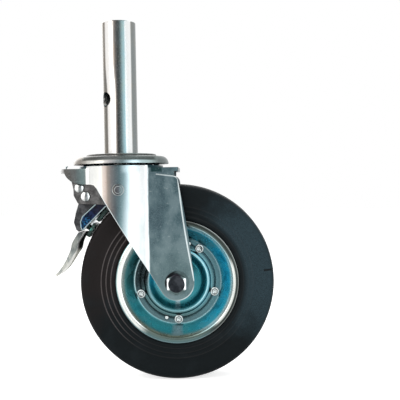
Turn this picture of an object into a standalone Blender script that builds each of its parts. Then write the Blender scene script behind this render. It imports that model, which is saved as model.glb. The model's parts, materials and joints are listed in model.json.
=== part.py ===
"""Scaffold castor: spigot stem, double ball race swivel, pressed fork, pressed rim and foot brake.

Frame: +Z up, the origin on the stem's axis at the seat that the scaffold tube stands on.
The wheel trails to +X and the brake leads at -X.
"""

import math

import bmesh
import bpy
from mathutils import Matrix, Vector

MM = 0.001
GAP = 0.3 * MM  # between pieces that seat on each other

# Stem
STEM_R = 17.5 * MM
STEM_WALL = 3.0 * MM
STEM_H = 138 * MM
STEM_EDGE = 1.2 * MM
STEM_HOLE_R = 7.65 * MM
STEM_HOLE_Z = 57 * MM
STEM_HOLE_TURN = math.radians(54)

# Swivel cover, a pressed dish over the upper race
COVER_R = 49.5 * MM
COVER_SHOULDER_W = 7.0 * MM
COVER_SHOULDER_R = COVER_R - COVER_SHOULDER_W
COVER_LIP_Z = -10.4 * MM
COVER_SHEET = 3.0 * MM
SEAT_INSET = 13 * MM
SEAT_R = COVER_R - SEAT_INSET
SEAT_STEP = 2.5 * MM
SEAT_RECESS = 0.5 * MM  # round the stem's foot
SEAT_RECESS_ROOM = 0.7 * MM
SEAT_RECESS_R = STEM_R + SEAT_RECESS_ROOM
PRESS_ROUND = 1.5 * MM

# Pressed fork
FORK_INSET = 5.0 * MM
FORK_R = COVER_R - FORK_INSET  # round front of the legs, about the stem's axis
FORK_FRONT_X = -0.726 * FORK_R
LEG_T = 4.0 * MM
LEG_INSET = 10 * MM
LEG_Y = FORK_R - LEG_INSET  # outer face of a leg's flat part
LEG_EYE_R = 17.7 * MM
LEG_TOP_BACK_X = 60.3 * MM
LEG_TOP_DROP = 4.0 * MM  # top of the flat part, below the crown
LEG_CORNER = 7.0 * MM
LEG_BACK_BULGE = 1.3 * MM
LEG_EYE_START = math.radians(210)
LEG_EYE_END = math.radians(368)
LEG_KNEE = 9.0 * MM
LEG_TOP_STEP = 0.4 * MM
LAND_INSET = 0.6 * MM
LAND_STEP = 0.5 * MM
LAND_W = 10 * MM
PRESS_STEP = 0.3 * MM
CROWN_T = 4.0 * MM
CROWN_FRONT_BOW = 7.9 * MM
CROWN_CORNER = 2.0 * MM
SKIRT_INSET = 1.5 * MM
SKIRT_T = 3.5 * MM
SKIRT_BACK_DROP = 8.0 * MM
SKIRT_FRONT_DROP = 15.9 * MM
SKIRT_FRONT_CUT = 20 * MM

# Balls and races
UPPER_BALL_R = 3.1 * MM
UPPER_BALL_COUNT = 18
UPPER_RACE_INSET = 11.5 * MM
UPPER_RACE_R = COVER_R - UPPER_RACE_INSET
LOWER_BALL_R = 2.5 * MM
LOWER_BALL_COUNT = 14
LOWER_RACE_INSET = 12.5 * MM
LOWER_RACE_R = LEG_Y - LOWER_RACE_INSET
CAGE_T = 1.2 * MM
LOWER_CUP_T = 2.5 * MM
RACE_LAND = 2.7 * MM

# Kingpin, which holds the fork up against the cover
KINGPIN_R = 6.0 * MM
KINGPIN_FIT = 2.0 * MM
KINGPIN_HEAD_AF = 19 * MM
KINGPIN_HEAD_H = 7.5 * MM
KINGPIN_NUT_H = 4.6 * MM
THREAD_END = 0.2 * MM

# Axle and tyre
WHEEL_R = 100 * MM
TYRE_LEAD = 43 * MM  # how far the tyre reaches in front of the stem's axis
TRAIL = WHEEL_R - TYRE_LEAD
TYRE_TOP_DROP = 32 * MM
AXLE_DROP = WHEEL_R + TYRE_TOP_DROP
AXLE_R = 6.0 * MM
AXLE_FIT = 0.3 * MM
BOLT_AF = 19 * MM
BOLT_HEAD_H = 7.5 * MM
BOLT_CHAMFER = 1.1 * MM
NUT_H = 10 * MM
BOLT_TAIL = 3 * MM
WASHER_R = 12 * MM
WASHER_T = 2.0 * MM
TYRE_SIDE_ROOM = 9.5 * MM
TYRE_HALF_W = LEG_Y - TYRE_SIDE_ROOM
TREAD_CROWN = 1.2 * MM
TYRE_SHOULDER = 5.0 * MM
SIDEWALL_DISH = 1.5 * MM
RIB_H = 0.8 * MM
RIB_HALF_W = 1.0 * MM

# Pressed rim halves
RIM_SHEET = 2.0 * MM
RIM_R = 63.4 * MM
RIM_LIP_INSET = 2.0 * MM
RIM_LIP_Y = TYRE_HALF_W - RIM_LIP_INSET
RIM_LIP_W = 6.9 * MM
RIM_LIP_INNER_R = RIM_R - RIM_LIP_W
RIM_CONE_INSET = 17.4 * MM
RIM_CONE_R = RIM_R - RIM_CONE_INSET
RIM_DISC_Y = 10 * MM
RIM_RIDGE_INSET = 14.6 * MM
RIM_RIDGE_R = RIM_CONE_R - RIM_RIDGE_INSET
RIM_RIDGE_H = 2.5 * MM
RIM_RIDGE_W = 3.0 * MM
RIM_BOWL_Y = 5.0 * MM
RIM_GROOVE_INSET = 7.2 * MM
RIM_GROOVE_R = RIM_CONE_R - RIM_GROOVE_INSET
RIM_GROOVE_D = 1.0 * MM
FIRST_RIB = 2.6 * MM
RIB_PITCH = 5.5 * MM
TYRE_RIBS = [RIM_R + FIRST_RIB + RIB_PITCH * i for i in range(3)]
HUB_R = 16 * MM
HUB_WALL = 3.2 * MM
HUB_SIDE_ROOM = 3.5 * MM
HUB_HALF_L = LEG_Y - LEG_T - HUB_SIDE_ROOM
SLEEVE_WALL = 2.0 * MM
BUSH_L = 14 * MM
BUSH_FLANGE_T = 1.5 * MM
RIVET_STEP_OUT = 1.2 * MM
RIVET_CIRCLE_R = RIM_GROOVE_R + RIVET_STEP_OUT
RIVET_COUNT = 5
RIVET_START = math.radians(-17.3)
RIVET_HEAD_R = 4.65 * MM
RIVET_HEAD_H = 1.8 * MM
RIVET_R = 3.2 * MM
RIVET_BORE_R = 1.9 * MM
SMALL_RIVET_R = 1.6 * MM
SMALL_RIVET_HEAD_R = 2.5 * MM
SMALL_RIVET_ANGLES = (math.radians(71.7), math.radians(-107.5))

# Shoes, and the channel's web that carries them square to a line from the axle
BRAKE_TURN = math.radians(135)
SHOE_GAP = 1.0 * MM
SHOE_T = 4.0 * MM
SHOE_L = 15 * MM
SHOE_SIDE_INSET = 10 * MM
SHOE_HALF_W = TYRE_HALF_W - SHOE_SIDE_INSET
SHOE_BOLT_R = 3.0 * MM
SHOE_BOLT_L = 8.0 * MM  # beyond the shoe's back
SHOE_SEAT = 0.78 * MM
SHOE_PLACES = (-0.714, -0.148)  # along the channel, in its own lengths
WEB_REACH = WHEEL_R + SHOE_GAP + SHOE_T + SHOE_SEAT
WEB_X = TRAIL + WEB_REACH * math.cos(BRAKE_TURN)
WEB_Z = WEB_REACH * math.sin(BRAKE_TURN) - AXLE_DROP
PIN_FIT = 0.3 * MM

# Brake bracket, with its stop pin and the lever's pivot
PIVOT_LEAD = 16.5 * MM
PIVOT_RISE = 14.2 * MM
PIVOT_X = WEB_X - PIVOT_LEAD
PIVOT_Z = WEB_Z + PIVOT_RISE
PIVOT_R = 4.0 * MM
STOP_PIN_LEAD = 6.2 * MM
STOP_PIN_RISE = 9.0 * MM
STOP_PIN_X = PIVOT_X - STOP_PIN_LEAD
STOP_PIN_Z = PIVOT_Z + STOP_PIN_RISE
STOP_PIN_R = 2.5 * MM
DOME_R = 5.2 * MM
DOME_H = 2.2 * MM
BRACKET_L = 30 * MM
BRACKET_SIDE_ROOM = 4.0 * MM
BRACKET_Y = LEG_Y - LEG_T - BRACKET_SIDE_ROOM
BRACKET_T = 3.0 * MM
BRACKET_LEAD = 15.7 * MM
BRACKET_WEB_W = 16 * MM
BRACKET_FRONT_X = PIVOT_X - BRACKET_LEAD
BRACKET_BACK_X = BRACKET_FRONT_X + BRACKET_WEB_W

# Lever, channel and pedal
CHANNEL_L = 35 * MM
NEST_GAP = 0.6 * MM  # between folded pieces that nest in each other
CHANNEL_Y = BRACKET_Y - BRACKET_T - NEST_GAP
CHANNEL_T = 3.0 * MM
LEVER_L = 36 * MM
LEVER_Y = CHANNEL_Y - CHANNEL_T - NEST_GAP
LEVER_T = 3.0 * MM
LEVER_EYE_R = 8.0 * MM
PEDAL_L = 50 * MM
PEDAL_SIDE_INSET = 0.7 * MM
PEDAL_HALF_W = CHANNEL_Y - PEDAL_SIDE_INSET
PEDAL_T = 2.5 * MM

# Outlines seen from the near side, in the piece's own length
BRACKET_SIDE = ((-0.407, 0.233, 0), (-0.403, 0.033, 0.067), (-0.257, -0.247, 0.083), (0.727, -0.293, 0.067),
                (0.643, 0.033, 0.1), (0.343, 0.4, 0.133))
CHANNEL_SIDE = ((-0.851, 0, 0.029), (0.15, 0, 0.029), (0.226, 0.049, 0.057), (0.01, 0.297, 0.086),
                (-0.62, 0.245, 0.086), (-0.79, 0.131, 0.057))
LEVER_WEB = ((-0.239, -0.222), (-0.317, -0.472), (-0.378, -0.736), (-0.308, -0.944))
LEVER_FRONT = ((-0.236, -1.007), (-0.203, -0.889), (0.175, -0.43))
PEDAL_BACK = ((-0.002, -0.007), (-0.072, -0.111), (-0.142, -0.235), (-0.162, -0.335),
              (-0.216, -0.465), (-0.314, -0.647), (-0.422, -0.795), (-0.492, -0.867))
PEDAL_FRONT = ((-0.45, -0.899), (-0.342, -0.789), (-0.242, -0.649), (-0.13, -0.467),
               (-0.028, -0.377), (0.012, -0.225), (0.054, -0.133), (0.104, -0.023))

# Cross pin through the round fronts of both legs
CROSS_PIN_X = 1.0 * MM
CROSS_PIN_Z = -37 * MM
CROSS_PIN_R = 3.5 * MM
CROSS_HEAD_R = 6.0 * MM
CROSS_HEAD_H = 2.0 * MM

# Return spring, a wire coil round the stop pin
WIRE_R = 0.8 * MM
SPRING_TURNS = 4
SPRING_PITCH = 2.6 * MM
SPRING_TAIL_LEAD = 16.5 * MM
SPRING_TAIL_X = STOP_PIN_X - SPRING_TAIL_LEAD
SPRING_TAIL_TOP = 3.5 * MM
SPRING_START = math.radians(250)
SPRING_OPEN = math.radians(70)
SPRING_LEG = 13 * MM

CROWN_BACK_X = LEG_TOP_BACK_X
HOOK_ROOM = 5.4 * MM  # plate in front of the hole that the spring's tail goes through
CROWN_FRONT_X = SPRING_TAIL_X - HOOK_ROOM

ZINC = ((0.55, 0.57, 0.56, 1), 0.32, 1.0)
BLUE_ZINC = ((0.22, 0.52, 0.60, 1), 0.28, 1.0)
DARK_STEEL = ((0.09, 0.09, 0.11, 1), 0.45, 1.0)
RUBBER = ((0.025, 0.025, 0.028, 1), 0.75, 0.0)


def material(name, finish):
    """A plain Principled material of the object's own."""
    colour, roughness, metallic = finish
    result = bpy.data.materials.new(name)
    result.use_nodes = True
    shader = result.node_tree.nodes["Principled BSDF"]
    shader.inputs["Base Color"].default_value = colour
    shader.inputs["Roughness"].default_value = roughness
    shader.inputs["Metallic"].default_value = metallic
    result.diffuse_color = colour
    return result


def add_object(name, bm, finish, parent=None, smooth=True):
    """Turn a bmesh whose points are in world space into a named object under its parent."""
    bmesh.ops.remove_doubles(bm, verts=bm.verts, dist=1e-6)
    bmesh.ops.recalc_face_normals(bm, faces=bm.faces)
    mesh = bpy.data.meshes.new(name)
    bm.to_mesh(mesh)
    bm.free()
    if smooth:
        mesh.shade_smooth()
        mesh.set_sharp_from_angle(angle=math.radians(32))
    mesh.materials.append(material(name, finish))
    result = bpy.data.objects.new(name, mesh)
    bpy.context.scene.collection.objects.link(result)
    if parent is not None:
        result.parent = parent
        result.matrix_parent_inverse = parent.matrix_world.inverted()


def joint_empty(name, location, parent=None):
    """An empty on a joint's axis, which carries the pieces that move with it."""
    result = bpy.data.objects.new(name, None)
    result.empty_display_size = 20 * MM
    bpy.context.scene.collection.objects.link(result)
    result.location = location
    bpy.context.view_layer.update()
    if parent is not None:
        result.parent = parent
        result.matrix_parent_inverse = parent.matrix_world.inverted()
        bpy.context.view_layer.update()
    return result


def arc(cx, cy, radius, start, end, steps):
    """Points of an arc from start to end, in radians."""
    return [(cx + radius * math.cos(start + (end - start) * i / steps),
             cy + radius * math.sin(start + (end - start) * i / steps)) for i in range(steps + 1)]


def rounded(corners, steps=4):
    """An outline from corners of (x, y, fillet radius), with its fillets worked out as arcs."""
    points = []
    for i, (x, y, radius) in enumerate(corners):
        here = Vector((x, y))
        before = (Vector(corners[i - 1][:2]) - here).normalized()
        after = (Vector(corners[(i + 1) % len(corners)][:2]) - here).normalized()
        if radius == 0:
            points.append((x, y))
            continue
        half = before.angle(after) / 2
        centre = here + (before + after).normalized() * radius / math.sin(half)
        first = here + before * radius / math.tan(half) - centre
        last = here + after * radius / math.tan(half) - centre
        turn = first.angle_signed(last)
        for step in range(steps + 1):
            spoke = first.copy()
            spoke.rotate(Matrix.Rotation(-turn * step / steps, 2))
            points.append(tuple(centre + spoke))
    return points


def turned(profile, segments, location=(0, 0, 0), axis="Z"):
    """Revolve a closed outline of (radius, height) about an axis through the location."""
    bm = bmesh.new()
    verts = [bm.verts.new((r, 0, h)) for r, h in profile]
    pairs = zip(verts, verts[1:] + verts[:1])
    edges = [bm.edges.new(pair) for pair in pairs if pair[0].co.x > 1e-7 or pair[1].co.x > 1e-7]
    bmesh.ops.spin(bm, geom=verts + edges, cent=(0, 0, 0), axis=(0, 0, 1), angle=math.tau,
                   steps=segments, use_merge=True)
    bmesh.ops.remove_doubles(bm, verts=bm.verts, dist=1e-6)
    turn = Matrix() if axis == "Z" else Matrix.Rotation(math.radians(90), 4, "X")
    bmesh.ops.transform(bm, verts=bm.verts, matrix=Matrix.Translation(location) @ turn)
    return bm


def slab(outline, start, end, across="Y"):
    """Extrude an outline of (x, z) points along Y, or of (x, y) points along Z."""
    bm = bmesh.new()
    if across == "Y":
        verts = [bm.verts.new((x, start, z)) for x, z in outline]
        move = Vector((0, end - start, 0))
    else:
        verts = [bm.verts.new((x, y, start)) for x, y in outline]
        move = Vector((0, 0, end - start))
    face = bm.faces.new(verts)
    grown = bmesh.ops.extrude_face_region(bm, geom=[face])
    bmesh.ops.translate(bm, vec=move, verts=[g for g in grown["geom"] if isinstance(g, bmesh.types.BMVert)])
    bmesh.ops.recalc_face_normals(bm, faces=bm.faces)
    return bm


def mirrored(bm):
    """The same shape on the far side of the wheel's middle plane."""
    copy = bm.copy()
    bmesh.ops.transform(copy, verts=copy.verts, matrix=Matrix.Scale(-1, 4, (0, 1, 0)))
    bmesh.ops.reverse_faces(copy, faces=copy.faces)
    return copy


def combine(operation, base, *others):
    """Boolean of closed bmeshes: UNION, DIFFERENCE or INTERSECT."""
    for other in others:
        pair = []
        for bm in (base, other):
            bmesh.ops.recalc_face_normals(bm, faces=bm.faces)
            mesh = bpy.data.meshes.new("work")
            bm.to_mesh(mesh)
            bm.free()
            work = bpy.data.objects.new("work", mesh)
            bpy.context.scene.collection.objects.link(work)
            pair.append(work)
        modifier = pair[0].modifiers.new("combine", "BOOLEAN")
        modifier.operation = operation
        modifier.object = pair[1]
        bpy.context.view_layer.update()
        evaluated = pair[0].evaluated_get(bpy.context.evaluated_depsgraph_get())
        base = bmesh.new()
        base.from_mesh(evaluated.to_mesh())
        evaluated.to_mesh_clear()
        for work in pair:
            mesh = work.data
            bpy.data.objects.remove(work)
            bpy.data.meshes.remove(mesh)
    return base


def hex_outline(across_flats, start, end):
    """Side profile of a hexagon bar as (radius, height), to be turned with 6 segments."""
    radius = across_flats / math.sqrt(3)
    return [(0, start), (radius, start), (radius, end), (0, end)]


def rod(radius, start, end, location=(0, 0, 0), axis="Z", segments=20):
    """A round bar along an axis, from start to end."""
    return turned([(0, start), (radius, start), (radius, end), (0, end)], segments, location, axis)


def tube(inner, outer, start, end, location=(0, 0, 0), axis="Z", segments=20):
    """A ring or pipe along an axis."""
    return turned([(inner, start), (outer, start), (outer, end), (inner, end)], segments, location, axis)


def stem_head():
    """What stays with the scaffold tube: the spigot, the swivel cover, the kingpin and the lower cup."""
    inner = STEM_R - STEM_WALL
    foot = GAP - SEAT_RECESS
    pipe = turned([(inner, foot), (STEM_R, foot), (STEM_R, STEM_H - STEM_EDGE), (STEM_R - STEM_EDGE, STEM_H),
                   (inner, STEM_H)], 40)
    drill = rod(STEM_HOLE_R, -2 * STEM_R, 2 * STEM_R, axis="Z", segments=24)
    turn = Matrix.Rotation(math.pi / 2 - STEM_HOLE_TURN, 4, "Z") @ Matrix.Rotation(math.pi / 2, 4, "Y")
    bmesh.ops.transform(drill, verts=drill.verts, matrix=Matrix.Translation((0, 0, STEM_HOLE_Z)) @ turn)
    add_object("stem_tube", combine("DIFFERENCE", pipe, drill), ZINC)
    swivel_cover()
    kingpin()


def swivel_cover():
    """A dish of pressed sheet, with the raised seat, the shoulder and the lip over the upper race."""
    sheet = COVER_SHEET
    bore = KINGPIN_R + GAP
    shoulder = (COVER_R - COVER_SHOULDER_R, -SEAT_STEP - COVER_LIP_Z)
    outer = [(bore, -SEAT_RECESS), (SEAT_RECESS_R, -SEAT_RECESS), (SEAT_RECESS_R, 0)]
    outer += [(SEAT_R - PRESS_ROUND, 0), (SEAT_R, -PRESS_ROUND / 2)]
    outer += [(SEAT_R + PRESS_ROUND / 2, -SEAT_STEP)]
    outer += [(COVER_SHOULDER_R + shoulder[0] * math.sin(a), COVER_LIP_Z + shoulder[1] * math.cos(a))
              for a in [math.radians(18 * i) for i in range(6)]]
    inside = shoulder[0] - sheet
    inner = [(COVER_SHOULDER_R + inside * math.sin(a), COVER_LIP_Z + (shoulder[1] - sheet) * math.cos(a))
             for a in [math.radians(30 * i) for i in range(4)]]
    under = [(SEAT_R - PRESS_ROUND, -SEAT_STEP - sheet), (SEAT_R - 2 * PRESS_ROUND, -sheet), (bore, -sheet)]
    add_object("swivel_cover", turned(outer + inner[::-1] + under, 36), ZINC)


def lower_levels():
    """Heights under the crown: the balls' middle, the cup's top and the cup's underside."""
    crown_under = crown_top() - CROWN_T
    middle = crown_under - GAP - LOWER_BALL_R
    cup_top = middle - LOWER_BALL_R - GAP
    return middle, cup_top, cup_top - LOWER_CUP_T


def crown_top():
    """Height of the crown plate, under the upper balls and their race."""
    return -SEAT_STEP - COVER_SHEET - 2 * (GAP + UPPER_BALL_R) - RACE_LAND


def kingpin():
    """Bolt from inside the stem, the cup that carries the lower balls, and the nut under it."""
    cup_top, cup_under = lower_levels()[1:]
    nut_top = cup_under - GAP
    nut_under = nut_top - KINGPIN_NUT_H
    seat = GAP - SEAT_RECESS
    head = turned(hex_outline(KINGPIN_HEAD_AF, seat, seat + KINGPIN_HEAD_H), 6)
    shank = rod(KINGPIN_R, nut_under - THREAD_END, seat + KINGPIN_HEAD_H / 2)
    add_object("kingpin", combine("UNION", head, shank), ZINC, smooth=False)
    cup_r = LOWER_RACE_R + 2 * LOWER_BALL_R
    wall = LOWER_BALL_R
    cup = [(KINGPIN_R + GAP, cup_under), (cup_r - wall / 2, cup_under), (cup_r, cup_under + wall / 2),
           (cup_r, cup_top + wall), (cup_r - wall / 2, cup_top + wall),
           (cup_r - wall / 2, cup_top + wall / 2), (cup_r - wall, cup_top), (KINGPIN_R + GAP, cup_top)]
    add_object("lower_race_cup", turned(cup, 24), ZINC)
    nut = turned(hex_outline(KINGPIN_HEAD_AF, nut_under, nut_top), 6)
    bore = rod(KINGPIN_R + GAP, nut_under - KINGPIN_R, nut_top + KINGPIN_R)
    add_object("kingpin_nut", combine("DIFFERENCE", nut, bore), ZINC, smooth=False)


def ball_ring(name, parent, race_r, ball_r, count, middle):
    """Balls held at even spacing by their flat cage."""
    half = ball_r / 2
    cage = tube(race_r - half, race_r + half, middle - CAGE_T / 2, middle + CAGE_T / 2, segments=count)
    balls = bmesh.new()
    for i in range(count):
        angle = math.tau * i / count
        place = Matrix.Translation((race_r * math.cos(angle), race_r * math.sin(angle), middle))
        bmesh.ops.create_uvsphere(balls, u_segments=6, v_segments=5, radius=ball_r,
                                  matrix=place @ Matrix.Rotation(angle, 4, "Z"))
    add_object(name, combine("UNION", cage, balls), DARK_STEEL, parent)


def leg_outline():
    """A fork leg seen from the side, from the round front down to the axle's eye, as (x, z)."""
    top = crown_top() + RACE_LAND - LEG_TOP_STEP
    flat_top = crown_top() - CROWN_T - LEG_TOP_DROP
    foot = Vector((TRAIL, -AXLE_DROP))
    back_top = Vector((LEG_TOP_BACK_X, flat_top))
    front_top = Vector((FORK_FRONT_X, crown_top() - SKIRT_FRONT_DROP))
    front_knee = front_top + Vector((LEG_KNEE, 0))
    eye = [tuple(foot + LEG_EYE_R * Vector((math.cos(a), math.sin(a))))
           for a in [LEG_EYE_START + (LEG_EYE_END - LEG_EYE_START) * i / 10 for i in range(11)]]
    back_foot = Vector(eye[-1])
    side = back_foot - back_top
    out = Vector((-side.y, side.x)).normalized() * LEG_BACK_BULGE
    back = [tuple(back_foot - side * t + out * math.sin(math.pi * t)) for t in (0.2, 0.4, 0.6, 0.8)]
    corner = arc(back_top.x - LEG_CORNER, flat_top - LEG_CORNER, LEG_CORNER, 0, math.pi / 2, 4)
    return [(FORK_FRONT_X, top), tuple(front_top), tuple(front_knee)] + eye + back + corner + [
        (crease_x() + LEG_T / 2, flat_top), (crease_x() + LEG_T / 2, top)]


def crease_x():
    """Where the round front of a leg runs into its flat part."""
    return math.sqrt(FORK_R ** 2 - LEG_Y ** 2)


def leg():
    """Near leg: a sheet wrapped round the swivel, creased into a flat, and cut to its outline."""
    inner_r = FORK_R - LEG_T
    crease = math.atan2(LEG_Y, crease_x())
    front = math.acos(FORK_FRONT_X / FORK_R)
    inner_crease = math.asin((LEG_Y - LEG_T) / inner_r)
    back_x = TRAIL + 2 * LEG_EYE_R
    plan = [(x, -y) for x, y in arc(0, 0, FORK_R, front, crease, 14)]
    plan += [(back_x, -LEG_Y), (back_x, LEG_T - LEG_Y)]
    plan += [(x, -y) for x, y in arc(0, 0, inner_r, inner_crease, front, 14)]
    sheet = slab(plan, -AXLE_DROP - 2 * LEG_EYE_R, 0, across="Z")
    shape = combine("INTERSECT", sheet, slab(leg_outline(), -2 * FORK_R, 0))
    return combine("DIFFERENCE", shape, axle_drill(), cross_drill())


def axle_drill():
    return rod(AXLE_R + AXLE_FIT, -2 * FORK_R, 2 * FORK_R, (TRAIL, 0, -AXLE_DROP), "Y")


def cross_drill():
    return rod(CROSS_PIN_R + PIN_FIT, -2 * FORK_R, 2 * FORK_R, (CROSS_PIN_X, 0, CROSS_PIN_Z), "Y", 16)


def crown_plan(inset):
    """The crown plate from above: bowed front, round sides about the swivel, and the back tongue."""
    half = LEG_Y - SKIRT_INSET - inset
    bow = (half ** 2 + CROWN_FRONT_BOW ** 2) / (2 * CROWN_FRONT_BOW)
    sweep = math.asin(half / bow)
    front_x = CROWN_FRONT_X + inset
    front = arc(front_x + bow, 0, bow, math.pi - sweep, math.pi + sweep, 8)
    back = CROWN_BACK_X - inset
    tongue = [(0, -half, 0), (back, -half, CROWN_CORNER), (back, half, CROWN_CORNER), (0, half, 0)]
    return front + rounded(tongue, 3)[1:-1]


def crown():
    """Crown plate with turned-down side skirts, and the raised land of the upper race on top of it."""
    top = crown_top()
    under = top - CROWN_T
    plate = slab(crown_plan(0), under, top, across="Z")
    outer = FORK_R - LAND_INSET
    disc = rod(outer, under - PRESS_STEP, top + PRESS_STEP, segments=48)
    land = tube(outer - LAND_W, outer - LAND_STEP, top - CROWN_T / 2, top + RACE_LAND, segments=48)
    wall = slab(crown_plan(PRESS_STEP), top - 2 * SKIRT_FRONT_DROP, under + CROWN_T / 3, across="Z")
    skirt = combine("DIFFERENCE", wall, slab(inner_plan(), top - 3 * SKIRT_FRONT_DROP, top, across="Z"))
    skirt = combine("INTERSECT", skirt, slab(skirt_side(), -2 * FORK_R, 2 * FORK_R))
    shape = combine("UNION", plate, disc, skirt, land)
    bore = rod(KINGPIN_R + KINGPIN_FIT, under - CROWN_T, top + 2 * CROWN_T, segments=24)
    tail = (SPRING_TAIL_X, -SPRING_TURNS * SPRING_PITCH / 2, 0)
    hook = rod(2 * WIRE_R, under - CROWN_T, top + CROWN_T, tail, segments=10)
    return combine("DIFFERENCE", shape, bore, hook)


def inner_plan():
    """Space between the skirts, open at the front and the back."""
    half = LEG_Y - SKIRT_INSET - SKIRT_T
    front = 2 * CROWN_FRONT_X
    back = 2 * CROWN_BACK_X
    return [(front, -half), (back, -half), (back, half), (front, half)]


def skirt_side():
    """Lower edge of the skirts from the side: deep and rounded in front, shallow at the back."""
    top = crown_top()
    deep = top - SKIRT_FRONT_DROP
    shallow = top - SKIRT_BACK_DROP
    front_x = CROWN_FRONT_X + CROWN_FRONT_BOW
    drop = SKIRT_FRONT_DROP - CROWN_T / 2
    sweep = [(front_x + SKIRT_FRONT_CUT * (1 - math.cos(a)), top - CROWN_T / 2 - drop * math.sin(a))
             for a in [math.radians(15 * i) for i in range(7)]]
    back = CROWN_BACK_X - LEG_TOP_DROP
    return [(front_x, top)] + sweep + [(FORK_FRONT_X + LEG_T, deep), (FORK_FRONT_X + LEG_T, shallow),
                                       (back, shallow), (back, top)]


def fork(parent):
    """The welded fork, its ball rings, and the pins that go through it."""
    near = leg()
    far = mirrored(near)
    add_object("fork_frame", combine("UNION", crown(), near, far), ZINC, parent)
    upper = -SEAT_STEP - COVER_SHEET - GAP - UPPER_BALL_R
    ball_ring("upper_ball_ring", parent, UPPER_RACE_R, UPPER_BALL_R, UPPER_BALL_COUNT, upper)
    ball_ring("lower_ball_ring", parent, LOWER_RACE_R, LOWER_BALL_R, LOWER_BALL_COUNT, lower_levels()[0])
    reach = FORK_R + GAP
    head = CROSS_HEAD_H
    place = (CROSS_PIN_X, 0, CROSS_PIN_Z)
    profile = [(0, -reach - head), (CROSS_HEAD_R - head / 2, -reach - head), (CROSS_HEAD_R, -reach - head / 2),
               (CROSS_HEAD_R, -reach), (CROSS_PIN_R, -reach), (CROSS_PIN_R, reach), (CROSS_HEAD_R, reach),
               (CROSS_HEAD_R, reach + head / 2), (CROSS_HEAD_R - head / 2, reach + head), (0, reach + head)]
    add_object("cross_pin", turned(profile, 14, place, "Y"), ZINC, parent)
    axle(parent)


def axle(parent):
    """Axle bolt from the near side, its washers and nut, and the sleeve clamped between the legs."""
    place = (TRAIL, 0, -AXLE_DROP)
    seat = LEG_Y + GAP
    bore = AXLE_R + AXLE_FIT
    head_seat = seat + WASHER_T + GAP
    end = head_seat + NUT_H + BOLT_TAIL
    head = turned(hex_outline(BOLT_AF, head_seat, head_seat + BOLT_HEAD_H), 6, place, "Y")
    top = head_seat + BOLT_HEAD_H
    corner = BOLT_AF / math.sqrt(3)
    crown_r = BOLT_AF / 2 - BOLT_CHAMFER
    dome = turned([(0, 0), (corner, 0), (corner, top - BOLT_CHAMFER), (crown_r, top), (0, top)],
                  24, place, "Y")
    head = combine("INTERSECT", head, dome)
    shank = rod(AXLE_R, -end, head_seat + BOLT_HEAD_H / 2, place, "Y", 24)
    add_object("axle_bolt", combine("UNION", head, shank), ZINC, parent, smooth=False)
    nut = turned(hex_outline(BOLT_AF, -head_seat - NUT_H, -head_seat), 6, place, "Y")
    add_object("axle_nut", combine("DIFFERENCE", nut, axle_drill()), ZINC, parent, smooth=False)
    for side, name in ((1, "near"), (-1, "far")):
        start, stop = sorted((side * seat, side * (seat + WASHER_T)))
        add_object(f"axle_washer_{name}", tube(bore, WASHER_R, start, stop, place, "Y"), ZINC, parent)
    inner = LEG_Y - LEG_T - GAP
    add_object("axle_sleeve", tube(bore, bore + SLEEVE_WALL, -inner, inner, place, "Y"), ZINC, parent)


def offset(path, distance):
    """A path of (radius, height) points moved sideways by a distance, to its left."""
    points = []
    for i, point in enumerate(path):
        here = Vector(point)
        into = (here - Vector(path[i - 1])).normalized() if i else (Vector(path[1]) - here).normalized()
        out = (Vector(path[i + 1]) - here).normalized() if i + 1 < len(path) else into
        normal = (Vector((-into.y, into.x)) + Vector((-out.y, out.x))).normalized()
        points.append(tuple(here + normal * distance / normal.dot(Vector((-into.y, into.x)))))
    return points


def rim_path():
    """Middle of the rim's sheet from the lip in to the hub, as (radius, height)."""
    half = RIM_SHEET / 2
    disc = RIM_DISC_Y - half
    bend = 0.8 * RIM_SHEET
    lip = [(RIM_R - half, RIM_LIP_Y - bend), (RIM_R - 3 * half, RIM_LIP_Y - half),
           (RIM_LIP_INNER_R + bend, RIM_LIP_Y - 1.3 * half), (RIM_LIP_INNER_R, RIM_LIP_Y - 2.8 * half)]
    cone = [(RIM_CONE_R + 1.2 * half, disc + bend), (RIM_CONE_R - 0.4 * half, disc + 0.4 * half),
            (RIM_CONE_R - bend, disc)]
    groove = [(RIM_GROOVE_R + bend, disc), (RIM_GROOVE_R, disc - RIM_GROOVE_D), (RIM_GROOVE_R - bend, disc)]
    ridge = [(RIM_RIDGE_R + RIM_RIDGE_W, disc), (RIM_RIDGE_R + RIM_RIDGE_W / 2, disc + RIM_RIDGE_H * 0.8),
             (RIM_RIDGE_R, disc + RIM_RIDGE_H), (RIM_RIDGE_R - RIM_RIDGE_W / 2, disc + RIM_RIDGE_H * 0.7)]
    bowl_y = RIM_BOWL_Y - half
    inner = HUB_R + GAP
    span = RIM_RIDGE_R - inner
    bowl = [(inner + 0.6 * span, bowl_y + half), (inner + 0.36 * span, bowl_y), (inner, bowl_y)]
    return lip + cone + groove + ridge + bowl


def on_rim(angle, radius):
    """A place on the wheel at an angle up from +X, as seen with +X to the right."""
    return (TRAIL + radius * math.cos(angle), 0, -AXLE_DROP + radius * math.sin(angle))


def rivet_places():
    """Places of the rim rivets and of the two small ones."""
    big = [on_rim(RIVET_START - math.tau * i / RIVET_COUNT, RIVET_CIRCLE_R) for i in range(RIVET_COUNT)]
    small = [on_rim(angle, RIVET_CIRCLE_R) for angle in SMALL_RIVET_ANGLES]
    return big, small


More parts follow.
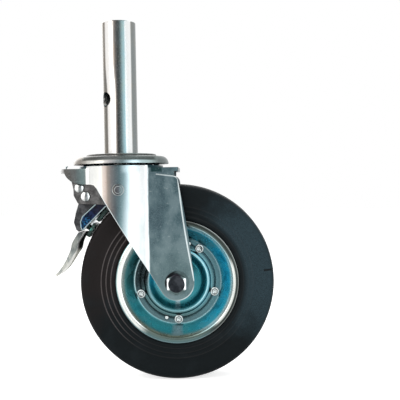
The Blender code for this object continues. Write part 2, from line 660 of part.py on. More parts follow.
def rim_half():
    """Near half of the pressed rim, drilled for its rivets."""
    path = rim_path()
    place = (TRAIL, 0, -AXLE_DROP)
    half = RIM_SHEET / 2
    shape = turned(offset(path, half) + offset(path, -half)[::-1], 32, place, "Y")
    big, small = rivet_places()
    reach = RIM_LIP_Y
    drills = [rod(RIVET_R + PIN_FIT, -reach, reach, spot, "Y", 12) for spot in big]
    drills += [rod(SMALL_RIVET_R + PIN_FIT, -reach, reach, spot, "Y", 10) for spot in small]
    return combine("DIFFERENCE", shape, *drills)


def tyre_profile():
    """Solid tyre: flat tread with round shoulders, ribbed sidewalls, and a base shaped to the rim."""
    half = TYRE_HALF_W
    shoulder = TYRE_SHOULDER
    side = [(WHEEL_R, 0), (WHEEL_R - TREAD_CROWN / 2, half - 2 * shoulder)]
    side += [(WHEEL_R - TREAD_CROWN - shoulder * (1 - math.cos(a)), half - shoulder * (1 - math.sin(a)))
             for a in [math.radians(30 * i) for i in range(4)]]
    wall = half - SIDEWALL_DISH
    for radius in reversed(TYRE_RIBS):
        side += [(radius + 2 * RIB_HALF_W, wall), (radius, wall + RIB_H)]
    lip = RIM_R + GAP
    base = offset(rim_path()[:6], RIM_SHEET / 2 + GAP)
    side += [(lip, wall - RIB_H), (lip, base[0][1])] + base
    return [(r, -h) for r, h in side[:0:-1]] + side


def wheel(parent):
    """Tyre, both rim halves, the hub and its bushes, and the rivets that hold the halves together."""
    place = (TRAIL, 0, -AXLE_DROP)
    add_object("tyre", turned(tyre_profile(), 40, place, "Y"), RUBBER, parent)
    near = rim_half()
    far = mirrored(near)
    add_object("rim_near", near, BLUE_ZINC, parent)
    add_object("rim_far", far, BLUE_ZINC, parent)
    bore = HUB_R - HUB_WALL
    add_object("hub_tube", tube(bore, HUB_R, -HUB_HALF_L, HUB_HALF_L, place, "Y"), ZINC, parent)
    inner = AXLE_R + AXLE_FIT + SLEEVE_WALL + GAP
    seat = HUB_HALF_L + GAP
    flange_r = HUB_R - HUB_WALL / 3
    bush = [(inner, HUB_HALF_L - BUSH_L), (bore - GAP, HUB_HALF_L - BUSH_L), (bore - GAP, seat),
            (flange_r, seat), (flange_r, seat + BUSH_FLANGE_T), (inner, seat + BUSH_FLANGE_T)]
    near_bush = turned(bush, 20, place, "Y")
    far_bush = mirrored(near_bush)
    add_object("hub_bush_near", near_bush, DARK_STEEL, parent)
    add_object("hub_bush_far", far_bush, DARK_STEEL, parent)
    rivets(parent)


def rivets(parent):
    """Tubular rivets with a shouldered middle that keeps the two discs apart, and two small solid ones."""
    face = RIM_DISC_Y + GAP
    inside = RIM_DISC_Y - RIM_SHEET - RIM_GROOVE_D - GAP
    top = face + RIVET_HEAD_H
    big, small = rivet_places()
    half = [(RIVET_HEAD_R, inside), (RIVET_R, inside), (RIVET_R, face), (RIVET_HEAD_R, face),
            (RIVET_HEAD_R, top - RIVET_HEAD_H / 3), (RIVET_HEAD_R - RIVET_HEAD_H / 3, top),
            (RIVET_BORE_R, top)]
    profile = [(r, -h) for r, h in half[::-1]] + half
    for i, spot in enumerate(big, 1):
        add_object(f"rim_rivet_{i}", turned(profile, 10, spot, "Y"), ZINC, parent)
    top = face + SMALL_RIVET_HEAD_R / 2
    half = [(SMALL_RIVET_HEAD_R, inside), (SMALL_RIVET_R, inside), (SMALL_RIVET_R, face),
            (SMALL_RIVET_HEAD_R, face), (SMALL_RIVET_HEAD_R / 2, top), (0, top)]
    profile = [(r, -h) for r, h in half[::-1]] + half
    for i, spot in enumerate(small, 1):
        add_object(f"small_rivet_{i}", turned(profile, 10, spot, "Y"), ZINC, parent)


def folded(outline, edge, outer_y, sheet):
    """A U of sheet: two side plates of one outline, joined by a web along the left of one of its edges."""
    body = slab(outline, -outer_y, outer_y)
    room = offset(edge, sheet)
    first = Vector(room[0]) - Vector(room[1])
    last = Vector(room[-1]) - Vector(room[-2])
    side = Vector(offset(edge, 1)[0]) - Vector(edge[0])
    deep = side.normalized() * 4 * outer_y
    start = Vector(room[0]) + first.normalized() * 2 * outer_y
    end = Vector(room[-1]) + last.normalized() * 2 * outer_y
    room = [tuple(start)] + room[1:-1] + [tuple(end), tuple(end + deep), tuple(start + deep)]
    hollow = slab(room, sheet - outer_y, outer_y - sheet)
    return combine("DIFFERENCE", body, hollow)


def dome_pin(radius, x, z):
    """Round pin across the bracket with a low dome outside each cheek."""
    seat = BRACKET_Y + GAP
    turns = [math.radians(22.5 * i) for i in range(4)]
    dome = [(DOME_R * math.cos(a), seat + DOME_H * math.sin(a)) for a in turns]
    half = [(radius, seat)] + dome + [(0, seat + DOME_H)]
    profile = [(r, -h) for r, h in half[::-1]] + half
    return turned(profile, 14, (x, 0, z), "Y")


def bracket(parent):
    """Folded bracket under the crown's front, with its stop pin and the lever's pivot pin."""
    top = crown_top() - CROWN_T - GAP
    front = BRACKET_FRONT_X
    side = [(PIVOT_X + x * BRACKET_L, PIVOT_Z + z * BRACKET_L, r * BRACKET_L) for x, z, r in BRACKET_SIDE]
    cheek = rounded([(front, top, BRACKET_T)] + side + [(PIVOT_X + 2 * BRACKET_T, top, 0)], 3)
    body = slab(cheek, -BRACKET_Y, BRACKET_Y)
    inner = BRACKET_Y - BRACKET_T
    under = top - BRACKET_T
    far = 2 * FORK_R
    room = slab([(2 * front, -far), (far, -far), (far, under), (2 * front, under)], -inner, inner)
    web = under - BRACKET_T
    back = slab([(BRACKET_BACK_X, web), (far, web), (far, far), (BRACKET_BACK_X, far)], -inner, inner)
    shape = combine("DIFFERENCE", body, room, back)
    pivot = rod(PIVOT_R + PIN_FIT, -FORK_R, FORK_R, (PIVOT_X, 0, PIVOT_Z), "Y", 16)
    stop = rod(STOP_PIN_R + PIN_FIT, -FORK_R, FORK_R, (STOP_PIN_X, 0, STOP_PIN_Z), "Y", 12)
    add_object("brake_bracket", combine("DIFFERENCE", shape, pivot, stop), DARK_STEEL, parent)
    add_object("stop_pin", dome_pin(STOP_PIN_R, STOP_PIN_X, STOP_PIN_Z), DARK_STEEL, parent)
    add_object("lever_pivot", dome_pin(PIVOT_R, PIVOT_X, PIVOT_Z), DARK_STEEL, parent)
    return_spring(parent)


def return_spring(parent):
    """Wire coil round the stop pin: one tail hooks up through the crown, the other pushes the lever out."""
    coil_r = STOP_PIN_R + PIN_FIT + WIRE_R
    length = SPRING_TURNS * SPRING_PITCH
    steps = 10 * SPRING_TURNS
    hook_top = crown_top() + SPRING_TAIL_TOP
    points = [(SPRING_TAIL_X + 2 * WIRE_R, -length / 2, hook_top),
              (SPRING_TAIL_X, -length / 2, hook_top - WIRE_R),
              (SPRING_TAIL_X, -length / 2, crown_top() - 2 * CROWN_T)]
    for i in range(steps + 1):
        angle = SPRING_START + (SPRING_TURNS * math.tau - SPRING_OPEN) * i / steps
        points.append((STOP_PIN_X + coil_r * math.cos(angle), -length / 2 + length * i / steps,
                       STOP_PIN_Z + coil_r * math.sin(angle)))
    clear_x = PIVOT_X - PIVOT_R - GAP - WIRE_R
    points += [(clear_x - WIRE_R, length / 2, PIVOT_Z), (clear_x - GAP / 2, length / 2, PIVOT_Z - SPRING_LEG)]
    curve = bpy.data.curves.new("return_spring", "CURVE")
    curve.dimensions = "3D"
    curve.bevel_depth = WIRE_R
    curve.bevel_resolution = 1
    curve.use_fill_caps = True
    spline = curve.splines.new("POLY")
    spline.points.add(len(points) - 1)
    for slot, point in zip(spline.points, points):
        slot.co = (*point, 1)
    curve.materials.append(material("return_spring", ZINC))
    result = bpy.data.objects.new("return_spring", curve)
    bpy.context.scene.collection.objects.link(result)
    result.parent = parent
    result.matrix_parent_inverse = parent.matrix_world.inverted()


def lever(parent):
    """The brake lever: folded arm on the pivot, the channel that carries the shoes, and the pedal."""
    eye = arc(PIVOT_X, PIVOT_Z, LEVER_EYE_R, math.radians(-20), math.radians(200), 10)
    web = [(PIVOT_X + x * LEVER_L, PIVOT_Z + z * LEVER_L) for x, z in LEVER_WEB]
    front = [(PIVOT_X + x * LEVER_L, PIVOT_Z + z * LEVER_L) for x, z in LEVER_FRONT]
    arm = folded(eye + web + front, web, LEVER_Y, LEVER_T)
    top = PIVOT_Z - 1.25 * LEVER_EYE_R
    inner = LEVER_Y - LEVER_T
    between = slab([(2 * PIVOT_X, top), (0, top), (0, 0), (2 * PIVOT_X, 0)], -inner, inner)
    arm = combine("DIFFERENCE", arm, between)
    hole = rod(PIVOT_R + PIN_FIT, -FORK_R, FORK_R, (PIVOT_X, 0, PIVOT_Z), "Y", 16)
    add_object("lever_arm", combine("DIFFERENCE", arm, hole), DARK_STEEL, parent)
    channel(parent)
    pedal(parent)


def web_place(along, out):
    """A place given along the channel's web and out from it, in the channel's length, as (x, z)."""
    u, v = along * CHANNEL_L, out * CHANNEL_L
    return (WEB_X + u * math.sin(BRAKE_TURN) + v * math.cos(BRAKE_TURN),
            WEB_Z - u * math.cos(BRAKE_TURN) + v * math.sin(BRAKE_TURN))


def channel(parent):
    """U channel whose web faces the tyre and carries the two shoes on bolts that point at the axle."""
    corners = [(*web_place(u, v), r * CHANNEL_L) for u, v, r in CHANNEL_SIDE]
    web = [corner[:2] for corner in corners[:2]]
    outline = rounded(corners, 3)
    body = folded(outline, web, CHANNEL_Y, CHANNEL_T)
    bolts = []
    for i, place in enumerate(SHOE_PLACES, 1):
        bolt, drill = shoe(BRAKE_TURN - math.atan(place * CHANNEL_L / WEB_REACH))
        body = combine("DIFFERENCE", body, drill)
        bolts.append((f"brake_shoe_{i}", bolt))
    add_object("shoe_channel", body, BLUE_ZINC, parent)
    for name, bolt in bolts:
        add_object(name, bolt, ZINC, parent)


def shoe(angle):
    """A brake shoe: a bar across the tyre on a short bolt with its nut, and the bolt's drill."""
    place = Matrix.Translation((TRAIL, 0, -AXLE_DROP)) @ Matrix.Rotation(-angle, 4, "Y") @ Matrix.Rotation(
        math.radians(90), 4, "Y")
    face = WHEEL_R + SHOE_GAP
    back = face + SHOE_T
    bar = slab([(-SHOE_L / 2, face), (SHOE_L / 2, face), (SHOE_L / 2, back), (-SHOE_L / 2, back)],
               -SHOE_HALF_W, SHOE_HALF_W)
    bolt = rod(SHOE_BOLT_R, face + SHOE_T / 2, back + SHOE_BOLT_L, segments=14)
    shape = combine("UNION", bar, bolt)
    drill = rod(SHOE_BOLT_R + PIN_FIT, back, back + 3 * SHOE_BOLT_L, segments=14)
    bmesh.ops.transform(shape, verts=shape.verts, matrix=place)
    bmesh.ops.transform(drill, verts=drill.verts, matrix=place)
    return shape, drill


def pedal(parent):
    """Long folded pedal: a top plate with side flanges that taper to the tip."""
    foot_x = PIVOT_X + LEVER_FRONT[0][0] * LEVER_L
    foot_z = PIVOT_Z + LEVER_FRONT[0][1] * LEVER_L
    back = [(foot_x + x * PEDAL_L, foot_z + z * PEDAL_L) for x, z in PEDAL_BACK]
    front = [(foot_x + x * PEDAL_L, foot_z + z * PEDAL_L) for x, z in PEDAL_FRONT]
    add_object("pedal", folded(back + front, back, PEDAL_HALF_W, PEDAL_T), ZINC, parent)


def main():
    for old in list(bpy.data.objects):
        bpy.data.objects.remove(old, do_unlink=True)
    stem_head()
    swivel = joint_empty("fork_swivel", (0, 0, 0))
    fork(swivel)
    bracket(swivel)
    wheel(joint_empty("wheel_spin", (TRAIL, 0, -AXLE_DROP), swivel))
    lever(joint_empty("brake_pedal", (PIVOT_X, 0, PIVOT_Z), swivel))


main()
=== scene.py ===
import json
import math
import bmesh
import bpy
from mathutils import Matrix, Vector


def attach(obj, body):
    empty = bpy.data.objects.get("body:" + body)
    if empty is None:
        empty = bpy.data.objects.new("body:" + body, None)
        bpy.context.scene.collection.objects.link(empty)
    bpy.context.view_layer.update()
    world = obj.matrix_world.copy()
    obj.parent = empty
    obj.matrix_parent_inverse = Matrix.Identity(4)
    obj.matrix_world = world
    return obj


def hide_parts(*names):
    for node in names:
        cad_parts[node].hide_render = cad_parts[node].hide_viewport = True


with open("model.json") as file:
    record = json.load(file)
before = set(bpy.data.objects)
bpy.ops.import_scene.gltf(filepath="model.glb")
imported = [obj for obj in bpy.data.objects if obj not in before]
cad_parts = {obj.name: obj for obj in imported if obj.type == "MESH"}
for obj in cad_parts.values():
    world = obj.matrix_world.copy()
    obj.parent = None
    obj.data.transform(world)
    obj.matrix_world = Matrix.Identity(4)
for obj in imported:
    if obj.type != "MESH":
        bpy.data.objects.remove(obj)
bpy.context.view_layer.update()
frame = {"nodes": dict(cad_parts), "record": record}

mm = 0.001
joinDistance = 0.001 * mm               # points closer than this are one point
joints = {joint["name"]: joint for joint in frame["record"]["behaviour"]["joints"]}
axle = Vector(joints["wheel_spin"]["pos_m"])
pivot = Vector(joints["brake_pedal"]["pos_m"])


def inMm(value):
    if isinstance(value, dict):     # sizes and points written in mm, turned to metres
        return {name: inMm(part) for name, part in value.items()}
    if isinstance(value, (tuple, list)):
        return [inMm(part) for part in value]
    return value * mm


def addObject(name, data):
    result = bpy.data.objects.new(name, data)
    bpy.context.scene.collection.objects.link(result)
    return result


# The photograph's view: where it looks from, its focal length in pixels, and its frame
view = {
    "imageSize": 400,
    "focalPixels": 791,
    "centrePixel": (205, 190),      # the point straight ahead of the lens
    "aheadX": 87.2 * mm,            # what that point is on the object
    "aheadZ": -38.8 * mm,
    "distance": 830 * mm,
    "roll": 1.13,
    "filmWidth": 36,
    "clipStart": 50 * mm,
}


def makeCamera():
    size = view["imageSize"]
    data = bpy.data.cameras.new("camera")
    data.sensor_width = view["filmWidth"]
    data.lens = data.sensor_width * view["focalPixels"] / size
    data.shift_x = (size / 2 - view["centrePixel"][0]) / size
    data.shift_y = (view["centrePixel"][1] - size / 2) / size
    data.clip_start = view["clipStart"]
    camera = addObject("camera", data)
    turn = spun(90, "X") @ spun(-view["roll"], "Z")
    camera.matrix_world = Matrix.Translation((view["aheadX"], -view["distance"], view["aheadZ"])) @ turn
    bpy.context.scene.camera = camera


# Shader maths: an expression on sockets adds its own nodes
class Value:
    def __init__(self, shader, socket):
        self.shader = shader
        self.socket = socket

    def maths(self, operation, *others):
        return self.shader.add("ShaderNodeMath", {"operation": operation}, dict(enumerate((self, *others))))

    def __add__(self, other):
        return self.maths("ADD", other)

    def __sub__(self, other):
        return self.maths("SUBTRACT", other)

    def __rsub__(self, other):
        return self.maths("MULTIPLY_ADD", -1, other)

    def __mul__(self, other):
        return self.maths("MULTIPLY", other)

    def __truediv__(self, other):
        return self.maths("DIVIDE", other)

    def atLeast(self, other):
        return self.maths("MAXIMUM", other)

    def atMost(self, other):
        return self.maths("MINIMUM", other)

    def step(self, low, high, start=0.0, end=1.0):
        return self.shader.add("ShaderNodeMapRange", {"interpolation_type": "SMOOTHSTEP"},
                               {0: self, 1: low, 2: high, 3: start, 4: end})

    def fall(self, low, high):
        return self.step(low, high, 1, 0)

    def between(self, low, high, soft):
        return self.step(low - soft, low + soft) * self.fall(high - soft, high + soft)

    def about(self, wide):                      # a cloud's swing to both sides of its middle
        return (self - 0.5) * wide

    def spread(self, low, high):                # from low to high over most of a cloud's range
        return self.step(0.3, 0.7, low, high)

    def sector(self, centre, wide, soft):       # of a turn: 1 within so many degrees of the centre's
        reach = [math.cos(math.radians(turn)) for turn in (wide + soft, max(wide - soft, 0))]
        return (self - math.radians(centre)).maths("COSINE").step(*reach)

    def bands(self, tones, ends=None):          # tones of (place, red, green, blue) or (place, grey)
        low, high = ends or (tones[0][0], tones[-1][0])
        stops = [((place - low) / (high - low), tone) for place, *tone in tones]
        return self.shader.add("ShaderNodeValToRGB", {"stops": stops}, {0: (self - low) / (high - low)})

    def paint(self, factor, colour, how="MIX"):
        return self.shader.blend(factor, self, colour, how)

    def coats(self, look, factors):             # the look's tones, each laid on by its factor
        base = self
        for name, factor in factors.items():
            base = base.paint(factor, look[name])
        return base


class Shader:
    def __init__(self, owner):
        self.owner = owner              # a material or a world
        owner.use_nodes = True
        self.tree = owner.node_tree

    def put(self, socket, value):
        if isinstance(value, Value):
            self.tree.links.new(value.socket, socket)
        elif isinstance(value, (tuple, list)) and len(value) == 3 and socket.type == "RGBA":
            socket.default_value = (*value, 1)
        else:
            socket.default_value = value

    def add(self, kind, settings=None, inputs=None, output=0):
        node = self.tree.nodes.new(kind)
        for key, value in (settings or {}).items():
            if key == "stops":
                self.setStops(node.color_ramp.elements, value)
            else:
                setattr(node, key, value)
        for key, value in (inputs or {}).items():
            self.put(node.inputs[key], value)
        return Value(self, node.outputs[output])

    def setStops(self, elements, stops):
        while len(elements) > 1:
            elements.remove(elements[-1])
        for i, (place, tone) in enumerate(stops):
            stop = elements[0] if i == 0 else elements.new(place)
            stop.position = place
            stop.color = (*(tone if len(tone) == 3 else tone * 3), 1)

    def read(self, name, letter):
        return self.add("ShaderNodeSeparateXYZ", {}, {0: self.add("ShaderNodeTexCoord", output=name)}, letter)

    def at(self, letter):               # the place on the part, in mm
        return self.read("Object", letter) / mm

    def turned(self, letter):           # how far a face turns to an axis, 0 to 1
        return self.read("Normal", letter) * 0.5 + 0.5

    def facing(self, letter):           # how squarely a face looks along an axis, 0 to 1
        return self.read("Normal", letter).maths("ABSOLUTE")

    def cloud(self, size, scale=(1, 1, 1), rough=0.6, detail=4, offset=(0, 0, 0)):
        here = self.add("ShaderNodeTexCoord", output="Object")
        place = self.add("ShaderNodeMapping", {}, {"Vector": here, "Scale": scale, "Location": offset})
        return self.add("ShaderNodeTexNoise", {}, {"Vector": place, "Scale": 1 / (size * mm),
                                                   "Detail": detail, "Roughness": rough})

    def grain(self, size=0.9):
        return self.cloud(size, rough=0.75)

    def blend(self, factor, first, second, how="MIX"):
        node = self.tree.nodes.new("ShaderNodeMix")
        node.data_type = "RGBA"
        node.blend_type = how
        for i, value in ((0, factor), (6, first), (7, second)):
            self.put(node.inputs[i], value)
        return Value(self, node.outputs[2])

    def set(self, **inputs):
        names = {"colour": "Base Color", "roughness": "Roughness", "metallic": "Metallic",
                 "shine": "Specular IOR Level", "normal": "Normal"}
        for key, value in inputs.items():
            self.put(self.tree.nodes["Principled BSDF"].inputs[names[key]], value)

    def done(self, colour, bump=None, **inputs):
        self.set(colour=colour, **inputs)
        if bump:                        # its height, strength and distance in mm
            names = {"Height": bump[0], "Strength": bump[1], "Distance": bump[2] * mm}
            self.set(normal=self.add("ShaderNodeBump", {}, names))
        return self


def finish(name, metallic=1.0, roughness=0.3):
    shader = Shader(bpy.data.materials.new(name))
    shader.set(metallic=metallic, roughness=roughness)
    return shader


# Mesh tools
def spun(degrees, letter):
    return Matrix.Rotation(math.radians(degrees), 4, letter)


def moved(mesh, matrix):
    bmesh.ops.transform(mesh, verts=mesh.verts, matrix=matrix)
    return mesh


def bothEnds(half):                 # an outline of (radius, height) with its mirror image below it
    return [(radius, -height) for radius, height in half[::-1] if height] + half


def rounded(corners, steps=6):
    points = []                     # corners of (x, y, fillet radius), each fillet an arc
    for i, (x, y, radius) in enumerate(corners):
        here = Vector((x, y))
        if radius == 0:
            points.append((x, y))
            continue
        before = (Vector(corners[i - 1][:2]) - here).normalized()
        after = (Vector(corners[(i + 1) % len(corners)][:2]) - here).normalized()
        half = before.angle(after) / 2
        centre = here + (before + after).normalized() * radius / math.sin(half)
        first = here + before * radius / math.tan(half) - centre
        turn = first.angle_signed(here + after * radius / math.tan(half) - centre)
        for step in range(steps + 1):
            spoke = first.copy()
            spoke.rotate(Matrix.Rotation(-turn * step / steps, 2))
            points.append(tuple(centre + spoke))
    return points


def arc(centre, wide, start, end, steps, high=None):
    turns = [math.radians(start + (end - start) * i / steps) for i in range(steps + 1)]
    high = high or wide
    return [(centre[0] + wide * math.cos(turn), centre[1] + high * math.sin(turn)) for turn in turns]


def offset(path, distance):
    points = []                     # a path moved sideways, to its left
    for i, point in enumerate(path):
        here = Vector(point)
        into = (here - Vector(path[i - 1])).normalized() if i else (Vector(path[1]) - here).normalized()
        out = (Vector(path[i + 1]) - here).normalized() if i + 1 < len(path) else into
        normal = (Vector((-into.y, into.x)) + Vector((-out.y, out.x))).normalized()
        points.append(tuple(here + normal * distance / normal.dot(Vector((-into.y, into.x)))))
    return points


def smoothPath(points, steps):
    result = []                     # a curve through the points
    last = len(points) - 1
    for i in range(last):
        a, b, c, d = [Vector(points[min(max(i + k, 0), last)]) for k in (-1, 0, 1, 2)]
        for step in range(steps):
            t = step / steps
            result.append(tuple(0.5 * (2 * b + (c - a) * t + (2 * a - 5 * b + 4 * c - d) * t * t
                                       + (3 * b - a - 3 * c + d) * t ** 3)))
    return result + [tuple(points[-1])]


def lathe(profile, segments, place=(0, 0, 0), along="Z"):
    mesh = bmesh.new()              # a closed outline of (radius, height) turned about an axis
    turns = [math.tau * k / segments for k in range(segments)]
    rings = []
    for radius, height in profile:
        onAxis = radius < joinDistance / 10
        rings.append([mesh.verts.new((radius * math.cos(turn), radius * math.sin(turn), height))
                      for turn in (turns[:1] if onAxis else turns)])
    for ring, following in zip(rings, rings[1:] + rings[:1]):
        for k in range(segments):
            n = (k + 1) % segments
            corners = {ring[k % len(ring)]: 0, ring[n % len(ring)]: 0,
                       following[n % len(following)]: 0, following[k % len(following)]: 0}
            if len(corners) > 2:
                mesh.faces.new(corners)
    bmesh.ops.recalc_face_normals(mesh, faces=mesh.faces)
    return moved(mesh, Matrix.Translation(place) @ spun(0 if along == "Z" else 90, "X"))


def rod(radius, start, end, place=(0, 0, 0), along="Z", segments=48):
    return lathe([(0, start), (radius, start), (radius, end), (0, end)], segments, place, along)


def tube(inner, outer, start, end, place=(0, 0, 0), along="Z", segments=64, edge=0.3 * mm):
    return lathe([(inner, start), (outer - edge, start), (outer, start + edge), (outer, end - edge),
                  (outer - edge, end), (inner, end)], segments, place, along)


def slab(outline, start, end, along="Y"):
    mesh = bmesh.new()              # an outline of (x, z) pushed along Y, or of (x, y) along Z
    points = [(x, start, h) if along == "Y" else (x, h, start) for x, h in outline]
    face = mesh.faces.new([mesh.verts.new(point) for point in points])
    grown = bmesh.ops.extrude_face_region(mesh, geom=[face])["geom"]
    move = (0, end - start, 0) if along == "Y" else (0, 0, end - start)
    points = [item for item in grown if isinstance(item, bmesh.types.BMVert)]
    bmesh.ops.translate(mesh, vec=move, verts=points)
    bmesh.ops.recalc_face_normals(mesh, faces=mesh.faces)
    return mesh


def mirrored(mesh):
    other = moved(mesh.copy(), Matrix.Scale(-1, 4, (0, 1, 0)))
    bmesh.ops.reverse_faces(other, faces=other.faces)
    return other


def combine(operation, base, *others):
    for other in others:
        pair = []
        for shape in (base, other):
            data = bpy.data.meshes.new("work")
            shape.to_mesh(data)
            shape.free()
            pair.append(addObject("work", data))
        tool = pair[0].modifiers.new("combine", "BOOLEAN")
        tool.operation = operation
        tool.object = pair[1]
        bpy.context.view_layer.update()
        done = pair[0].evaluated_get(bpy.context.evaluated_depsgraph_get())
        base = bmesh.new()
        base.from_mesh(done.to_mesh())
        for work in pair:
            data = work.data
            bpy.data.objects.remove(work)
            bpy.data.meshes.remove(data)
    return base


def folded(outline, edge, outerY, sheet):
    body = slab(outline, -outerY, outerY)       # a U of sheet with its web along one edge
    room = offset(edge, sheet)
    start = Vector(room[0]) + (Vector(room[0]) - Vector(room[1])).normalized() * 2 * outerY
    end = Vector(room[-1]) + (Vector(room[-1]) - Vector(room[-2])).normalized() * 2 * outerY
    deep = (Vector(offset(edge, 1)[0]) - Vector(edge[0])).normalized() * 4 * outerY
    room = [tuple(start)] + room[1:-1] + [tuple(end), tuple(end + deep), tuple(start + deep)]
    return combine("DIFFERENCE", body, slab(room, sheet - outerY, outerY - sheet))


def piece(name, mesh, shader, body, replaces=(), bevel=0.0, angle=32, segments=2):
    bmesh.ops.remove_doubles(mesh, verts=mesh.verts, dist=joinDistance)
    data = bpy.data.meshes.new(name)
    mesh.to_mesh(data)
    mesh.free()
    data.materials.append(shader.owner)
    result = addObject(name, data)
    if bevel:
        tool = result.modifiers.new("edge", "BEVEL")
        tool.width = bevel
        tool.segments = segments
        tool.limit_method = "ANGLE"
        tool.angle_limit = math.radians(angle)
    data.shade_smooth()
    data.set_sharp_from_angle(angle=math.radians(60 if bevel else angle))
    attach(result, body)
    if replaces:
        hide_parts(*replaces)


# Finishes: tones, painted highlights and painted shade by place on the part at rest, with places and cloud
# sizes in mm and turns in degrees
stemLook = {
    "bands": (                          # painted highlight and dark reflection bands, by how far a face turns to +X
        (0.0, 0.20, 0.185, 0.16), (0.10, 0.15, 0.14, 0.125), (0.14, 0.86, 0.84, 0.82),
        (0.34, 0.84, 0.83, 0.81), (0.37, 0.20, 0.19, 0.18), (0.42, 0.05, 0.046, 0.044),
        (0.49, 0.032, 0.038, 0.04), (0.54, 0.055, 0.07, 0.073), (0.60, 0.11, 0.16, 0.17),
        (0.69, 0.155, 0.24, 0.26), (0.73, 0.62, 0.67, 0.69), (0.78, 0.80, 0.82, 0.82),
        (0.86, 0.92, 0.93, 0.93), (0.89, 0.24, 0.265, 0.265), (1.0, 0.20, 0.22, 0.22)),
    "wear": (0.62, 0.52, 0.42),
    "grain": (0.7, 0.7, 0.7),
    "drift": (60, 95),                  # the heights that the bands shift between
}


def stemZinc(name):
    shader = finish(name)
    look = stemLook
    clouds, grain = shader.cloud(30, (1, 1, 0.25), 0.5, 3), shader.grain(1)
    wear = shader.cloud(9, (1, 1, 0.5), offset=(0.2, 0.3, 0.1))
    side = shader.turned("X")
    drift = shader.at("Z").step(*look["drift"], 0.05, 0) * side.fall(0.42, 0.52)
    # painted highlight and dark reflection bands by how far a face turns to +X, shifting with height
    base = (side - drift + clouds.about(0.04) + grain.about(0.02)).bands(look["bands"])
    base = base.paint(wear.step(0.45, 0.7) * 0.5, look["wear"], "SOFT_LIGHT")
    base = base.paint(grain.step(0.5, 0.7) * 0.12, look["grain"])
    return shader.done(base, (grain, 0.08, 0.3), roughness=grain.spread(0.24, 0.36))


coverLook = {
    "bands": (                          # painted highlight and shade bands, by height
        (-11, 0.15, 0.16, 0.155), (-6.2, 0.085, 0.09, 0.088), (-5.2, 0.06, 0.065, 0.063),
        (-3.5, 0.065, 0.068, 0.066), (-2.8, 0.15, 0.155, 0.152), (-2.45, 0.17, 0.17, 0.165),
        (-2.1, 0.05, 0.048, 0.046), (-0.9, 0.045, 0.043, 0.04), (-0.3, 0.20, 0.205, 0.20),
        (0, 0.28, 0.29, 0.28)),
    "lip": (                            # painted highlights along X, on the rolled lip
        (-50, 0.25, 0.225, 0.20), (-36, 0.25, 0.225, 0.195), (-31, 0.60, 0.59, 0.55),
        (-24, 0.68, 0.67, 0.63), (-15, 0.62, 0.60, 0.55), (-11, 0.24, 0.23, 0.225),
        (-4, 0.15, 0.15, 0.155), (6, 0.13, 0.18, 0.19), (12, 0.24, 0.31, 0.33), (18, 0.40, 0.51, 0.54),
        (32, 0.42, 0.54, 0.54), (38, 0.20, 0.24, 0.235), (41, 0.14, 0.165, 0.165),
        (50, 0.13, 0.155, 0.155)),
    "lipTop": (-8, -6.6),
    "lipEnds": (-36, 38, 2.5),
    "shoulder": (40.5, 42.5),           # the radii that the lip's ends start between
    "warm": (1, 0.93, 0.84),
    "warmFade": (-40, -10),
    "coolFade": (-2, 8),
    "cool": (0.82, 1, 1),
    "grain": (0.6, 0.64, 0.64),
}


def coverZinc(name):
    shader = finish(name)
    look = coverLook
    x, y, z = [shader.at(letter) for letter in "XYZ"]
    clouds, grain = shader.cloud(14, rough=0.5, detail=3), shader.grain()
    # painted highlight and shade bands by height
    base = (z + clouds.about(0.6)).bands(look["bands"])
    base = base.paint(x.fall(*look["warmFade"]), look["warm"], "MULTIPLY")
    base = base.paint(x.step(*look["coolFade"]) * 0.8, look["cool"], "MULTIPLY")
    outside = (x * x + y * y).step(*[radius ** 2 for radius in look["shoulder"]])
    ends = outside * (1 - x.between(*look["lipEnds"]))
    low = (z + clouds.about(1)).fall(*look["lipTop"]).atLeast(ends)
    # painted highlights along the rolled lip
    base = base.paint(low, (x + clouds.about(9)).bands(look["lip"]))
    base = base.paint(grain.step(0.5, 0.7) * 0.15, look["grain"])
    return shader.done(base, (grain, 0.1, 0.3), roughness=grain.spread(0.26, 0.4))


def nearLine(x, z, start, end, bow=0.0, width=(0.5, 1.1)):
    start, end = Vector(start) / mm, Vector(end) / mm       # 1 along a line, which may bow sideways
    long = (end - start).length
    along = (end - start) / long
    place = ((x - start.x) * along.x + (z - start.y) * along.y) / long
    away = (x - start.x) * along.y - (z - start.y) * along.x
    if bow:
        away = away - (place * math.pi).maths("SINE") * (bow / mm)
    return away.maths("ABSOLUTE").fall(*width) * place.step(-0.01, 0) * place.fall(1, 1.01)


def most(values):
    result = values[0]
    for value in values[1:]:
        result = result.atLeast(value)
    return result


